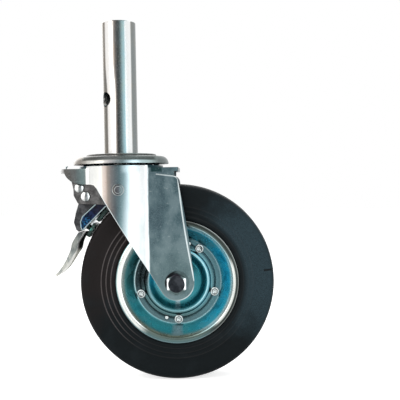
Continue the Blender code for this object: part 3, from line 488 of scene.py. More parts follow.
forkLook = {
    "bands": (                          # painted highlight and shade bands along X over the round front, then the flat legs' own tone
        (-62, 0.13, 0.125, 0.115), (-50, 0.085, 0.084, 0.08), (-44, 0.08, 0.08, 0.078),
        (-40.5, 0.075, 0.096, 0.097), (-36, 0.10, 0.14, 0.14), (-33.2, 0.12, 0.15, 0.15),
        (-32, 0.88, 0.88, 0.86), (-24, 0.86, 0.86, 0.83), (-16, 0.74, 0.73, 0.69),
        (-14.4, 0.54, 0.475, 0.435), (-11.5, 0.42, 0.35, 0.315), (-9.6, 0.21, 0.178, 0.156),
        (-5.7, 0.11, 0.104, 0.105), (-1.6, 0.072, 0.086, 0.094), (2.4, 0.085, 0.132, 0.148),
        (6.5, 0.165, 0.25, 0.27), (10.6, 0.35, 0.45, 0.48), (14.7, 0.52, 0.59, 0.61),
        (18.8, 0.66, 0.69, 0.69), (22, 0.74, 0.76, 0.76), (28.8, 0.84, 0.88, 0.89),
        (29.9, 0.66, 0.74, 0.76), (30.8, 0.07, 0.11, 0.125), (60, 0.065, 0.107, 0.12)),
    "flatStart": (28.5, 31),            # where the round front turns flat, along X
    "pale": (0.14, 0.19, 0.205),
    "deep": (0.035, 0.06, 0.075),
    "foot": (0.13, 0.19, 0.185),
    "crownGlow": (0.46, 0.58, 0.62),
    "sideGlow": (0.44, 0.56, 0.55),
    "backShade": (0.012, 0.035, 0.038),
    "topShade": (0.02, 0.05, 0.06),
    "top": (-15.3, -14.9),
    "topRadius": (43.95, 44.15),
    "scratch": (0.75, 0.8, 0.8),
    "grain": (0.62, 0.72, 0.73),
    # painted highlight on the legs' cut edges
    "cutEdge": (0.62, 0.69, 0.70),
    "bandDrift": 5,                     # how far the bands lean towards -X, low on the front
    "driftX": (-6, 6),
    "driftZ": (-90, -26),
    "bandEnd": 29,
    "footZ": (-125, -70),
    "crownGlowX": (5, 22, 3),
    "crownGlowZ": (-22, -17),
    "sideGlowX": (15, 26, 3),
    "sideGlowZ": (-78, -58),
    "backShadeX": (33, 44, 1),
    "backShadeZ": (-20, -18.6),
    "slantZ": (-128, -96),              # the front edge's painted highlight line is brighter above these
    "eyeX": (-4, 8),                    # and the eye's painted highlight line from here, from the axle
    "eyeZ": (-9, 0),
    "eyeLine": (1.2, 0.6),
    "thinLine": (0.3, 0.9),
    "rearLine": (0.4, 0.95),
}


# painted highlight lines along the legs' cut edges and round the eye
def cutEdge(x, z):
    f, look = fork, forkLook
    thin = look["thinLine"]
    eye, corner = eyePath(), (f["backTop"], f["flatTop"] - f["corner"])
    bend = (f["backTop"] - f["bend"][0], f["flatTop"] - f["bend"][1])
    lines = [nearLine(x, z, kneePath()[-1], eye[0], 0, thin) * z.step(*look["slantZ"], 0.2, 1),
             nearLine(x, z, eye[-1], corner, -f["bulge"], look["rearLine"]),
             nearLine(x, z, (f["flatX"], f["flatTop"] + f["rise"]), bend, 0, thin) * 0.7,
             nearLine(x, z, bend, corner, -f["bendBow"])]
    x, z, radius = x - axle.x / mm, z - axle.z / mm, f["eye"] / mm
    ring = (x * x + z * z).maths("SQRT").step(*[radius - inner for inner in look["eyeLine"]])
    return most(lines + [ring * z.fall(*look["eyeZ"]) * x.step(*look["eyeX"], 0.12, 0.7)])


def forkZinc(name):
    shader = finish(name)
    look = forkLook
    x, y, z = [shader.at(letter) for letter in "XYZ"]
    clouds, grain = shader.cloud(16, (1, 1, 0.6)), shader.grain()
    streaks = shader.cloud(10, (1, 1, 0.22), offset=(0.1, 0.4, 0.2))
    scratch = shader.cloud(5, (0.35, 1, 1.6), 0.65, 5, (0.5, 0.1, 0.7))
    flat = x.step(*look["flatStart"])
    drift = z.step(*look["driftZ"], look["bandDrift"], 0) * x.step(*look["driftX"]) * (1 - flat)
    drift = drift.atMost(look["bandEnd"] - x).atLeast(0)
    # painted highlight and shade bands across the round front
    base = (x + drift + streaks.about(2.4)).bands(look["bands"])
    base = base.coats(look, {
        "pale": clouds.step(0.44, 0.62) * (flat * 0.5 + 0.12),
        "deep": clouds.fall(0.34, 0.48) * flat * 0.45,
        "foot": z.fall(*look["footZ"]) * flat * 0.3,
        "crownGlow": z.step(*look["crownGlowZ"]) * x.between(*look["crownGlowX"]) * 0.6})
    side = x.between(*look["sideGlowX"]) * z.fall(*look["sideGlowZ"]) * streaks.step(0.4, 0.6, 0.4, 1)
    base = base.coats(look, {
        "sideGlow": side * 0.5,
        "backShade": z.step(*look["backShadeZ"]) * x.between(*look["backShadeX"]),
        "scratch": scratch.step(0.66, 0.72) * 0.15,
        "grain": grain.step(0.56, 0.72) * 0.22,
        # painted highlights along the cut edges
        "cutEdge": cutEdge(x, z) * 0.85})
    inside = (x * x + y * y).fall(*[radius ** 2 for radius in look["topRadius"]])
    base = base.paint(z.step(*look["top"]) * inside, look["topShade"])
    rough = (clouds * 0.5 + grain * 0.5).spread(0.24, 0.38)
    return shader.done(base, (grain * 0.4 + clouds * 0.6, 0.12, 0.4), roughness=rough)


zincLook = {
    "flat": (0.115, 0.175, 0.19),       # the still, teal-grey tone of level faces
    # painted highlight tone for faces turned away from Y, also laid in random pale patches
    "round": (0.56, 0.62, 0.62),
    "warm": (0.62, 0.55, 0.45),
    "grain": (0.12, 0.15, 0.16),
    "stretch": (1, 1, 0.4),
}


def zinc(name):
    shader = finish(name)
    look = zincLook
    clouds, grain = shader.cloud(20, look["stretch"]), shader.cloud(1.4, rough=0.7, detail=3)
    tint = shader.cloud(32, look["stretch"], 0.5, 3, (0.31, 0.12, 0.05))
    # faces that do not look along Y get the painted highlight tone
    level = (shader.facing("Y") + clouds.about(0.12)).step(0.80, 0.985)
    base = shader.blend(level, look["round"], look["flat"])
    base = base.paint(clouds.step(0.42, 0.7) * 0.35, look["round"])
    base = base.paint(tint.step(0.46, 0.7) * 0.35, look["warm"], "SOFT_LIGHT")
    base = base.paint(grain.fall(0.3, 0.55) * 0.25, look["grain"])
    rough = (clouds * 0.6 + grain * 0.4).spread(0.22, 0.38)
    return shader.done(base, (grain * 0.5 + clouds * 0.5, 0.12, 0.4), roughness=rough)


def wheelPolar(shader):
    x, z = shader.at("X") - axle.x / mm, shader.at("Z") - axle.z / mm
    return (x * x + z * z).maths("SQRT"), z.maths("ARCTAN2", x)


rimLook = {                             # the plating's tones with painted reflections, highlights and shade, in rings by radius, on three sides of the wheel
    "right": (
        (16, 0.05, 0.22, 0.26), (21, 0.035, 0.18, 0.21), (25, 0.035, 0.22, 0.27), (29.6, 0.04, 0.22, 0.27),
        (30.8, 0.08, 0.27, 0.32), (31.5, 0.42, 0.66, 0.72), (32.2, 0.12, 0.28, 0.32),
        (36.6, 0.07, 0.16, 0.18), (38, 0.018, 0.045, 0.052), (39.5, 0.06, 0.13, 0.15),
        (44.2, 0.05, 0.11, 0.125), (45, 0.22, 0.33, 0.36), (46.2, 0.06, 0.30, 0.38),
        (50, 0.04, 0.46, 0.66), (53.4, 0.05, 0.52, 0.72), (54.3, 0.12, 0.48, 0.60),
        (55.2, 0.54, 0.82, 0.90), (57.2, 0.38, 0.56, 0.60), (58.4, 0.06, 0.08, 0.075),
        (60.2, 0.03, 0.04, 0.036), (61.8, 0.035, 0.04, 0.038), (62.7, 0.22, 0.24, 0.23),
        (63.4, 0.04, 0.04, 0.04)),
    # left side: a painted shadow of the fork across the flat ring, and painted reflections on the lip
    "left": (
        (16, 0.08, 0.26, 0.32), (22, 0.08, 0.22, 0.27), (25, 0.08, 0.42, 0.54), (29, 0.10, 0.60, 0.76),
        (30.2, 0.50, 0.72, 0.78), (31.2, 0.005, 0.006, 0.007), (43.8, 0.008, 0.014, 0.016),
        (44.6, 0.40, 0.54, 0.56), (45.5, 0.03, 0.12, 0.14), (47, 0.025, 0.085, 0.09),
        (51.5, 0.04, 0.15, 0.165), (53.5, 0.12, 0.33, 0.34), (55, 0.35, 0.42, 0.42),
        (57, 0.70, 0.74, 0.72), (61, 0.60, 0.63, 0.61), (62.4, 0.16, 0.28, 0.29), (63.4, 0.05, 0.07, 0.07)),
    "under": (
        (16, 0.06, 0.22, 0.26), (22, 0.055, 0.22, 0.25), (26, 0.04, 0.23, 0.27), (29, 0.045, 0.19, 0.22),
        (30.6, 0.13, 0.30, 0.34), (31.4, 0.15, 0.30, 0.33), (32.4, 0.07, 0.14, 0.145),
        (36.6, 0.06, 0.12, 0.125), (38, 0.02, 0.04, 0.042), (39.5, 0.05, 0.095, 0.105),
        (43.7, 0.05, 0.09, 0.10), (44.6, 0.20, 0.36, 0.39), (45.6, 0.06, 0.29, 0.33),
        (50, 0.045, 0.32, 0.38), (53, 0.045, 0.30, 0.35), (54.6, 0.12, 0.27, 0.28),
        (55.9, 0.30, 0.33, 0.25), (57.2, 0.10, 0.13, 0.11), (61.4, 0.07, 0.12, 0.125),
        (62.8, 0.18, 0.27, 0.29), (63.4, 0.04, 0.05, 0.05)),
    "reach": 70,                        # the radius that the rings are measured against
    "leftTurn": (168, 40, 20),          # a turn's centre, its half width and its softness
    "underTurn": (-112, 48, 24),
    "cone": (46.5, 53.5, 0.8),
    "coneTopHighlightTurn": (66, 18, 16),
    "highlightStreakTurn": (-91, 4, 4),
    "highlightStreakRing": (46, 55, 1),
    "highlightStreakBowl": (29, 30),
    "lipHighlights": (((-14, 32, 8), (55.6, 59.8, 0.5)), ((186, 46, 8), (56.4, 61.6, 0.6))),
    "flatRing": (31.5, 44, 0.5),
    "coneTop": (0.13, 0.33, 0.36),
    "conePale": (0.12, 0.30, 0.34),
    "coneDeep": (0.01, 0.09, 0.13),
    "highlightStreak": (0.28, 0.36, 0.40),
    # painted highlight on the lip
    "white": (0.64, 0.66, 0.63),
    "grain": (0.22, 0.32, 0.34),
}


def blueZinc(name):
    shader = finish(name)
    look = rimLook
    radius, turn = wheelPolar(shader)
    clouds, grain = shader.cloud(14, rough=0.55, detail=3), shader.grain()
    # the plating's tones with painted reflections, highlights and shade, ring by ring
    right, left, under = [(radius + clouds.about(0.56)).bands(look[side], (0, look["reach"]))
                          for side in ("right", "left", "under")]
    swirl = turn + clouds.about(0.5)
    base = right.paint(swirl.sector(*look["leftTurn"]), left)
    base = base.paint(swirl.sector(*look["underTurn"]), under)
    cone = radius.between(*look["cone"])
    base = base.coats(look, {
        # painted highlight on the cone, up to the right
        "coneTop": cone * swirl.sector(*look["coneTopHighlightTurn"]) * 0.6,
        "conePale": cone * clouds.step(0.52, 0.62) * 0.35,
        "coneDeep": cone * clouds.fall(0.36, 0.46) * 0.4})
    # a painted highlight streak across the cone and bowl, low on the wheel
    highlightStreak = radius.between(*look["highlightStreakRing"]).atLeast(radius.fall(*look["highlightStreakBowl"]))
    base = base.paint(highlightStreak * turn.sector(*look["highlightStreakTurn"]) * 0.75, look["highlightStreak"])
    # painted highlights on the lip, to the right and to the left
    white = most([turn.sector(*side) * radius.between(*ring) for side, ring in look["lipHighlights"]])
    base = base.coats(look, {
        "white": white * 0.85,
        "grain": radius.between(*look["flatRing"]) * grain.step(0.5, 0.68) * 0.35})
    return shader.done(base, roughness=clouds.spread(0.18, 0.32))


rubberLook = {
    "black": (0.0016, 0.0037, 0.0047),
    "dust": (0.020, 0.027, 0.032),
    "brown": (0.0107, 0.0082, 0.0080),
    "blue": (0.027, 0.049, 0.061),
    "rib": (0.14, 0.125, 0.125),
    "ribHighlightLines": (                       # painted highlights along the ribs, by radius
        (62.4, 0), (66.95, 0), (67.72, 1), (68.525, 0), (71.85, 0), (72.55, 1), (73.32, 0), (76.75, 0),
        (77.45, 1), (78.22, 0), (97.4, 0)),
    "brownTurn": (152, 40, 26),
    "sheenTurn": (12, 38, 25),
    "sheenRing": (70, 99, 4),
    "ribTurn": (170, 45, 30),
    "ribFaintTurn": (-90, 40, 30),
    "nick": (89, 97.5, 0.4),
    "nickTurn": (6.6, 0.5, 0.3),
    "nickTone": (0.001, 0.001, 0.001),
}


def rubber(name):
    shader = finish(name, 0.0, 0.6)
    shader.set(shine=0.1)
    look = rubberLook
    radius, turn = wheelPolar(shader)
    specks, smears = shader.grain(), shader.cloud(26, offset=(0.2, 0.1, 0.3))
    swirl = turn + smears.about(0.8)
    base = shader.blend(swirl.sector(*look["brownTurn"]) * 0.9, look["black"], look["brown"])
    sheen = swirl.sector(*look["sheenTurn"]) * radius.between(*look["sheenRing"])
    base = base.coats(look, {
        "blue": sheen * (specks.step(0.4, 0.6) * 0.5 + 0.5),
        "dust": specks.step(0.56, 0.72) * 0.35 + smears.step(0.5, 0.75) * 0.2})
    # painted highlight lines along the ribs, strongest on the left
    faint = turn.sector(*look["ribTurn"]) * 0.75 + turn.sector(*look["ribFaintTurn"]) * 0.05 + 0.05
    base = base.paint(radius.bands(look["ribHighlightLines"]) * faint * specks.step(0.3, 0.5), look["rib"])
    nick = turn.sector(*look["nickTurn"]) * radius.between(*look["nick"])
    base = base.paint(nick * 0.9, look["nickTone"])
    return shader.done(base, (specks, 0.2, 0.4), roughness=specks.spread(0.46, 0.7))


darkLooks = {                           # by the finish's name
    "darkSteel": {"colour": (0.06, 0.055, 0.07)},
    # black for the disc that stands in for the shade in the bolt head's recess
    "recessShade": {"colour": (0.012, 0.014, 0.017)},
    # the bracket's and lever's edge tones are painted highlights
    "bracketSteel": {"colour": (0.052, 0.051, 0.051), "rough": (0.3, 0.45), "edge": (0.20, 0.19, 0.18)},
    "leverSteel": {"colour": (0.027, 0.028, 0.030), "rough": (0.35, 0.5), "edge": (0.065, 0.07, 0.072)},
    "shoeSteel": {"colour": (0.012, 0.020, 0.018), "rough": (0.3, 0.45), "spread": 3,
                  "glint": (0.10, 0.30, 0.26)},
}


def darkSteel(name):
    shader = finish(name)
    look = {"rough": (0.3, 0.5), "spread": 2.2, **darkLooks[name]}
    clouds, grain = shader.cloud(7), shader.grain(1)
    lighter = tuple(min(1, c * look["spread"] + 0.01) for c in look["colour"])
    base = shader.blend(clouds.step(0.4, 0.65), look["colour"], lighter)
    base = base.paint(grain.step(0.48, 0.66) * 0.4, lighter)
    if "glint" in look:
        base = base.paint(clouds.step(0.56, 0.66) * 0.8, look["glint"])
    # faces turned away from Y get a painted edge highlight
    if "edge" in look:
        base = base.paint(shader.facing("Y").fall(0.6, 0.93), look["edge"])
    return shader.done(base, (grain, 0.1, 0.3), roughness=grain.spread(*look["rough"]))


hardwareLook = {
    "boltFace": (0.07, 0.10, 0.10),
    # painted highlights on the head's left and right, painted shade on its top
    "boltSideHighlights": (0.80, 0.84, 0.85),
    "sideTurns": ((0, 33, 10), (180, 33, 10)),
    "topTurn": (95, 35, 15),
    "boltTop": (0.02, 0.02, 0.025),
    "washer": ((0.075, 0.115, 0.12), (0.11, 0.155, 0.16)),
    "washerShade": (0.012, 0.014, 0.016),
    "washerTurn": (148, 52, 16),
    # painted shade on the rivets' sloping faces, painted highlight on faces that look along Y
    "rivet": ((0.05, 0.07, 0.075), (0.46, 0.51, 0.51)),
    "pinBands": (                       # painted highlights at the sides and painted shade in the middle, along X
        (-6, 0.16, 0.145, 0.13), (-1, 0.07, 0.072, 0.078), (1.5, 0.075, 0.085, 0.095), (4, 0.15, 0.21, 0.225),
        (8, 0.24, 0.32, 0.34)),
    "pinEdgeHighlight": (0.50, 0.54, 0.54),
    "domeBands": (                      # painted highlight and shade bands, by how far a face turns to +X
        (0, 0.06, 0.06, 0.06), (0.16, 0.25, 0.26, 0.26), (0.3, 0.85, 0.86, 0.85), (0.44, 0.75, 0.76, 0.75),
        (0.5, 0.16, 0.17, 0.17), (0.6, 0.2, 0.22, 0.23), (0.7, 0.9, 0.95, 0.95), (0.8, 0.6, 0.65, 0.66),
        (0.9, 0.10, 0.11, 0.12), (1, 0.04, 0.04, 0.045)),
    "domeUnderShade": (0.08, 0.09, 0.09),
}


def boltZinc(name):
    shader = finish(name, roughness=0.25)
    turn = wheelPolar(shader)[1]
    # painted highlights on the head's left and right facets, painted shade on its top
    sides = most([turn.sector(*side) for side in hardwareLook["sideTurns"]])
    base = shader.blend(sides, hardwareLook["boltFace"], hardwareLook["boltSideHighlights"])
    return shader.done(base.paint(turn.sector(*hardwareLook["topTurn"]), hardwareLook["boltTop"]))


def washerZinc(name):
    shader = finish(name, roughness=0.35)
    shade = wheelPolar(shader)[1].sector(*hardwareLook["washerTurn"])
    clouds = shader.cloud(14, rough=0.55, detail=3)
    base = shader.blend(clouds.step(0.4, 0.6), *hardwareLook["washer"])
    return shader.done(base.paint(shade, hardwareLook["washerShade"]))


def rivetZinc(name):
    shader = finish(name, roughness=0.25)
    # painted highlight on faces that look along Y, painted shade on the slopes
    return shader.done(shader.blend(shader.facing("Y").step(0.78, 0.97), *hardwareLook["rivet"]))


def pinZinc(name):
    shader = finish(name)
    base = shader.at("X").bands(hardwareLook["pinBands"])
    # painted highlights and shade across the pin, and a painted highlight on faces turned away from Y
    return shader.done(base.paint(shader.facing("Y").fall(0.7, 0.97) * 0.9, hardwareLook["pinEdgeHighlight"]))


def domeZinc(name):
    shader = finish(name, roughness=0.25)
    grain = shader.cloud(1, rough=0.7, detail=3)
    # painted highlights and shade by how a face turns, and painted shade underneath
    base = (shader.turned("X") + grain.about(0.05)).bands(hardwareLook["domeBands"])
    return shader.done(base.paint(shader.turned("Z").fall(0.25, 0.5) * 0.6, hardwareLook["domeUnderShade"]))


channelLook = {
    "steel": ((0.005, 0.007, 0.013), (0.015, 0.024, 0.062)),
    "upper": (0.016, 0.015, 0.021),
    "glint": (0.02, 0.11, 0.24),
    # painted highlight along the channel's outline
    "edge": (0.36, 0.46, 0.47),
    "edgeWidth": (0.6, 1.2),
    "upperFade": (-66, -56),
    "lowerFade": (-84, -78),
}


def channelSteel(name):
    shader = finish(name)
    look = channelLook
    x, z = shader.at("X"), shader.at("Z")
    clouds, glints = shader.cloud(4), shader.cloud(2.2, (1, 1, 1), 0.7, 3, (0.2, 0.7, 0.1))
    base = shader.blend(clouds.step(0.42, 0.62), *look["steel"])
    base = base.coats(look, {
        "upper": (x + z * 0.6).step(*look["upperFade"]) * 0.75,
        "glint": (x * 0.5 + z).fall(*look["lowerFade"]) * glints.step(0.45, 0.6) * 0.8})
    # painted highlight lines along the channel's outline
    points = shoe["outline"]
    edge = most([nearLine(x, z, *ends, 0, look["edgeWidth"]) for ends in zip(points[1:], points[2:])])
    return shader.done(base.paint(edge * 0.75, look["edge"]))


pedalLook = {
    "zinc": ((0.24, 0.26, 0.25), (0.46, 0.46, 0.42)),
    "upper": (0.20, 0.23, 0.25),
    "top": (0.04, 0.045, 0.05),
    "inside": ((0.42, 0.42, 0.38), (0.012, 0.013, 0.013)),
    "insideY": (20.4, 21.4),
    "bendZ": (-103, -97),
    "topZ": (-87, -80),
}


def pedalZinc(name):
    shader = finish(name)
    look = pedalLook
    clouds, z = shader.cloud(8, (1, 1, 0.5)), shader.at("Z")
    inside = shader.at("Y").maths("ABSOLUTE").fall(*look["insideY"])
    inside = inside * shader.turned("X").step(0.3, 0.42)
    high = z.step(*look["bendZ"])
    base = shader.blend(clouds.step(0.4, 0.65), *look["zinc"])
    base = base.paint(high * 0.55, look["upper"], "MULTIPLY")
    base = base.paint(z.step(*look["topZ"]) * 0.8, look["top"])
    base = base.paint(inside, shader.blend(high, *look["inside"]))
    return shader.done(base, roughness=clouds.spread(0.3, 0.42))


print("stage: finishes ready")

# Stem
stem = inMm({"radius": 17.5, "wall": 3, "height": 138, "foot": -0.2, "edge": 1.2, "holeRadius": 7.65,
             "holeZ": 57, "bevel": 0.25}) | {"holeTurn": 54, "segments": 128}


def makeStem(shader):
    s = stem
    inner, outer, top, edge = s["radius"] - s["wall"], s["radius"], s["height"], s["edge"]
    pipe = [(inner, s["foot"]), (outer, s["foot"])] + arc((outer - edge, top - edge), edge, 0, 90, 3)
    pipe = lathe(pipe + [(inner + edge / 2, top), (inner, top - edge / 2)], s["segments"])
    turn = Matrix.Translation((0, 0, s["holeZ"])) @ spun(90 - s["holeTurn"], "Z") @ spun(90, "Y")
    pipe = combine("DIFFERENCE", pipe, moved(rod(s["holeRadius"], -2 * outer, 2 * outer, segments=64), turn))
    piece("stemTube", pipe, shader, "stem_head", ["stem_tube"], bevel=s["bevel"], angle=50)


# Swivel cover
cover = inMm({"seatRadius": 36.5, "step": 2.5, "radius": 49.5, "shoulder": 42.5, "lipZ": -10.4, "sheet": 3,
              "bore": 6.3, "recess": 0.5, "recessRadius": 18.2, "bevel": 0.3, "seatEnd": 2,
              "underRound": (1.5, 3),
              "seatCurve": ((-1.6, 0), (-0.5, -0.35), (0.1, -1.3), (0.9, -2.3))}) | {"segments": 160}


def makeCover(shader):
    c = cover
    wide, deep, middle = c["radius"] - c["shoulder"], -c["step"] - c["lipZ"], (c["shoulder"], c["lipZ"])
    seat = [(c["seatRadius"] + out, z) for out, z in c["seatCurve"]]
    seat = smoothPath(seat + [(c["seatRadius"] + c["seatEnd"], -c["step"])], 3)
    outside = arc(middle, wide, 90, 0, 10, deep)
    inside = arc(middle, wide - c["sheet"], 0, 90, 6, deep - c["sheet"])
    first, second = c["underRound"]
    under = [(c["seatRadius"] - first, -c["step"] - c["sheet"]), (c["seatRadius"] - second, -c["sheet"]),
             (c["bore"], -c["sheet"])]
    foot = [(c["bore"], -c["recess"]), (c["recessRadius"], -c["recess"]), (c["recessRadius"], 0)]
    mesh = lathe(foot + seat + outside + inside + under, c["segments"])
    piece("swivelCover", mesh, shader, "stem_head", ["swivel_cover"], bevel=c["bevel"], angle=50)


# Fork: one pressing with the round front, the flat legs, the crown tray and its skirts
fork = inMm({"radius": 44.5, "frontX": -32.3, "sheet": 4, "legY": 34.5, "eye": 17.7, "crownTop": -15,
             "landTop": -12.3, "landWide": 10, "flatTop": -23, "rise": 1.2, "backTop": 60.3, "corner": 7,
             "frontDrop": 15.9, "knee": ((0, 0), (4.5, -0.2), (8.1, -1.2), (10.8, -4.2)), "bulge": 1.3,
             "axleHole": 6.3, "crownFront": -62.4, "crownBow": 7.9, "inset": 1.5, "skirt": 3.5, "backDrop": 8,
             "skirtSweep": 20, "bore": 8, "edge": 1.1, "hookX": -57, "hookY": -5.2, "hookHole": 1.6,
             "step": 0.3, "flatX": 38, "bend": (4, 1.2), "bendBow": 1.6, "crease": (0.2, 0.25, 3),
             "tongue": 2, "skirtEnd": 4, "lap": 0.4, "landFoot": 2})
fork.update({"eyeTurn": (210, 368), "cornerTurn": (0, 72), "overlap": 3, "eyeSteps": 40, "segments": 128})
crossPin = inMm({"x": 1, "z": -37, "radius": 3.5, "fit": 0.3, "cap": (
    (6, 0), (6, 1.1), (5.3, 2), (3.72, 2), (3.3, 1.6), (1.8, 1.6), (1.2, 1.44), (0, 1.4))})


def creaseX():
    return math.sqrt(fork["radius"] ** 2 - fork["legY"] ** 2)


def kneePath():
    return [(fork["frontX"] + x, fork["crownTop"] - fork["frontDrop"] + z) for x, z in fork["knee"]]


def eyePath():
    return arc((axle.x, axle.z), fork["eye"], *fork["eyeTurn"], fork["eyeSteps"])


def legOutline():
    f = fork
    top, startX = f["landTop"] - f["lap"], creaseX() + f["sheet"] / 2
    eye = eyePath()
    foot = Vector(eye[-1])
    side = foot - Vector((f["backTop"], f["flatTop"] - f["corner"]))
    out = Vector((-side.y, side.x)).normalized() * f["bulge"]
    shares = [i / 12 for i in range(1, 12)]
    back = [tuple(foot - side * share + out * math.sin(math.pi * share)) for share in shares]
    corner = arc((f["backTop"] - f["corner"], f["flatTop"] - f["corner"]), f["corner"], *f["cornerTurn"], 10)
    end = [(startX, f["flatTop"] + f["rise"]), (startX, top)]
    return [(f["frontX"], top)] + kneePath() + eye + back + corner + end


def leg():
    f = fork
    far, inner, crease = 2 * f["radius"], f["radius"] - f["sheet"], creaseX()
    front = math.degrees(math.acos(f["frontX"] / f["radius"]))
    outerTurn = math.degrees(math.atan2(f["legY"], crease)) + f["overlap"]
    innerTurn = math.degrees(math.asin((f["legY"] - f["sheet"]) / inner))
    backX, low = axle.x + 2 * f["eye"], axle.z - 2 * f["eye"]
    outer = arc((0, 0), f["radius"], front, outerTurn, 40)
    past, out, end = f["crease"]
    bend = [outer[-1], (crease + past, f["legY"] + out), (crease + end, f["legY"])]
    plan = outer + smoothPath(bend, 4)[1:] + [(backX, f["legY"]), (backX, f["legY"] - f["sheet"])]
    plan += arc((0, 0), inner, innerTurn, front, 40)
    shape = combine("INTERSECT", slab([(x, -y) for x, y in plan], low, 0, "Z"), slab(legOutline(), -far, 0))
    pinHole = rod(crossPin["radius"] + crossPin["fit"], -far, far, (crossPin["x"], 0, crossPin["z"]), "Y", 32)
    return combine("DIFFERENCE", shape, rod(f["axleHole"], -far, far, axle, "Y"), pinHole)


def crownPlan(inset):
    f = fork
    half = f["legY"] - f["inset"] - inset
    bow = (half ** 2 + f["crownBow"] ** 2) / (2 * f["crownBow"])
    sweep = math.degrees(math.asin(half / bow))
    front = arc((f["crownFront"] + inset + bow, 0), bow, 180 - sweep, 180 + sweep, 24)
    back, fillet = f["backTop"] - inset, f["tongue"]
    tongue = [(0, -half, 0), (back, -half, fillet), (back, half, fillet), (0, half, 0)]
    return front + rounded(tongue, 5)[1:-1]


def skirtSide():
    f = fork
    top, half, frontX = f["crownTop"], f["sheet"] / 2, f["crownFront"] + f["crownBow"]
    sweep = arc((frontX + f["skirtSweep"], top - half), f["skirtSweep"], 180, 270, 15, f["frontDrop"] - half)
    inner, back = f["frontX"] + f["sheet"], f["backTop"] - f["skirtEnd"]
    deep, shallow = top - f["frontDrop"], top - f["backDrop"]
    return [(frontX, top)] + sweep + [(inner, deep), (inner, shallow), (back, shallow), (back, top)]


def makeFork(shader):
    f = fork
    top, under, step = f["crownTop"], f["crownTop"] - f["sheet"], f["step"]
    outer, half, wide = f["radius"] - 2 * step, f["legY"] - f["inset"] - f["skirt"], 4 * f["radius"]
    gap = slab([(-wide, -half), (wide, -half), (wide, half), (-wide, half)], -wide, top, "Z")
    skirt = slab(crownPlan(step), top - 2 * f["frontDrop"], under + f["sheet"] / 3, "Z")
    skirt = combine("INTERSECT", combine("DIFFERENCE", skirt, gap), slab(skirtSide(), -wide, wide))
    low, inside, side = top - f["landFoot"], outer - f["landWide"], outer - step
    land = lathe([(inside, low), (side, low), (side, f["landTop"]), (inside, f["landTop"])], f["segments"])
    drum = rod(outer, under - step, top + step, segments=f["segments"])
    shape = combine("UNION", slab(crownPlan(0), under, top, "Z"), drum, skirt, land)
    hook = rod(f["hookHole"], under - f["sheet"], top + f["sheet"], (f["hookX"], f["hookY"], 0), segments=24)
    shape = combine("DIFFERENCE", shape, rod(f["bore"], under - f["sheet"], top + 2 * f["sheet"]), hook)
    near = leg()
    far = mirrored(near)
    shape = combine("UNION", shape, near, far)
    piece("forkFrame", shape, shader, "fork", ["fork_frame"], bevel=f["edge"], segments=3)


def makeCrossPin(shader):
    c = crossPin
    seat = fork["radius"] + c["fit"]
    half = [(c["radius"], seat)] + [(radius, seat + height) for radius, height in c["cap"]]
    piece("crossPin", lathe(bothEnds(half), 64, (c["x"], 0, c["z"]), "Y"), shader, "fork", ["cross_pin"])


# Axle hardware: hexagon bolt head, nut, washers and sleeve
axleSet = inMm({"flats": 19, "seat": 34.8, "washer": 2, "washerRadius": 12, "gap": 0.3, "head": 7.5,
                "nut": 10, "tail": 3, "radius": 6, "face": 8.3, "nutFace": 9.2, "sleeve": 8.3,
                "sleeveHalf": 30.2, "edge": 0.2, "nutEdge": 0.25, "over": 1,
                "disc": ((0, 0.02), (8.3, 0.02), (8.2, 0.14), (0, 0.14))}) | {"slope": 0.4}


def hexBar(flats, start, end, face, place, bothFaces=False):
    corner = flats / math.sqrt(3)
    wide = corner + axleSet["over"]
    drop = (wide - face) * axleSet["slope"]
    bar = lathe([(0, start), (corner, start), (corner, end), (0, end)], 6)
    bar = moved(bar, Matrix.Translation(place) @ spun(90, "X") @ spun(30, "Z"))
    ring = [(face, start), (wide, start + drop)] if bothFaces else [(wide, start)]
    ring = [(0, start)] + ring + [(wide, end - drop), (face, end), (0, end)]
    return combine("INTERSECT", bar, lathe(ring, 96, place, "Y"))


def makeAxle(shader, boltShader, washerShader, recessShadeFinish):
    a = axleSet
    start, bore = a["seat"] + a["washer"] + a["gap"], a["radius"] + a["gap"]
    top, tail = start + a["head"], start + a["nut"] + a["tail"]
    shank = rod(a["radius"], -tail, start + a["head"] / 2, axle, "Y")
    bolt = combine("UNION", hexBar(a["flats"], start, top, a["face"], axle), shank)
    piece("axleBolt", bolt, boltShader, "fork", ["axle_bolt"], bevel=a["edge"])
    # a black disc on the head's face stands in for the shade in its recess
    disc = lathe([(radius, top + height) for radius, height in a["disc"]], 64, axle, "Y")
    piece("axleBoltRecessShade", disc, recessShadeFinish, "fork")
    nut = hexBar(a["flats"], -start - a["nut"], -start, a["nutFace"], axle, True)
    nut = combine("DIFFERENCE", nut, rod(bore, -2 * start, 2 * start, axle, "Y"))
    piece("axleNut", nut, shader, "fork", ["axle_nut"], bevel=a["nutEdge"])
    for name, side in (("Near", 1), ("Far", -1)):
        low, high = sorted((side * a["seat"], side * (a["seat"] + a["washer"])))
        washer = tube(bore, a["washerRadius"], low, high, axle, "Y")
        piece("axleWasher" + name, washer, washerShader, "fork", ["axle_washer_" + name.lower()])
    sleeve = tube(bore, a["sleeve"], -a["sleeveHalf"], a["sleeveHalf"], axle, "Y")
    piece("axleSleeve", sleeve, shader, "fork", ["axle_sleeve"])


# Wheel
rim = inMm({"sheet": 2, "radius": 63.4, "lipY": 23, "lipInner": 56.5, "cone": 46, "discY": 10, "ridge": 31.4,
            "ridgeHeight": 2.5, "ridgeWide": 3, "bowlY": 5, "bowl": 25.4, "bowlFoot": 21.7, "bowlRise": 1,
            "groove": 38.8, "grooveDeep": 1, "grooveHalf": 1.6, "hub": 16, "hubGap": 0.3}) | {"segments": 160}


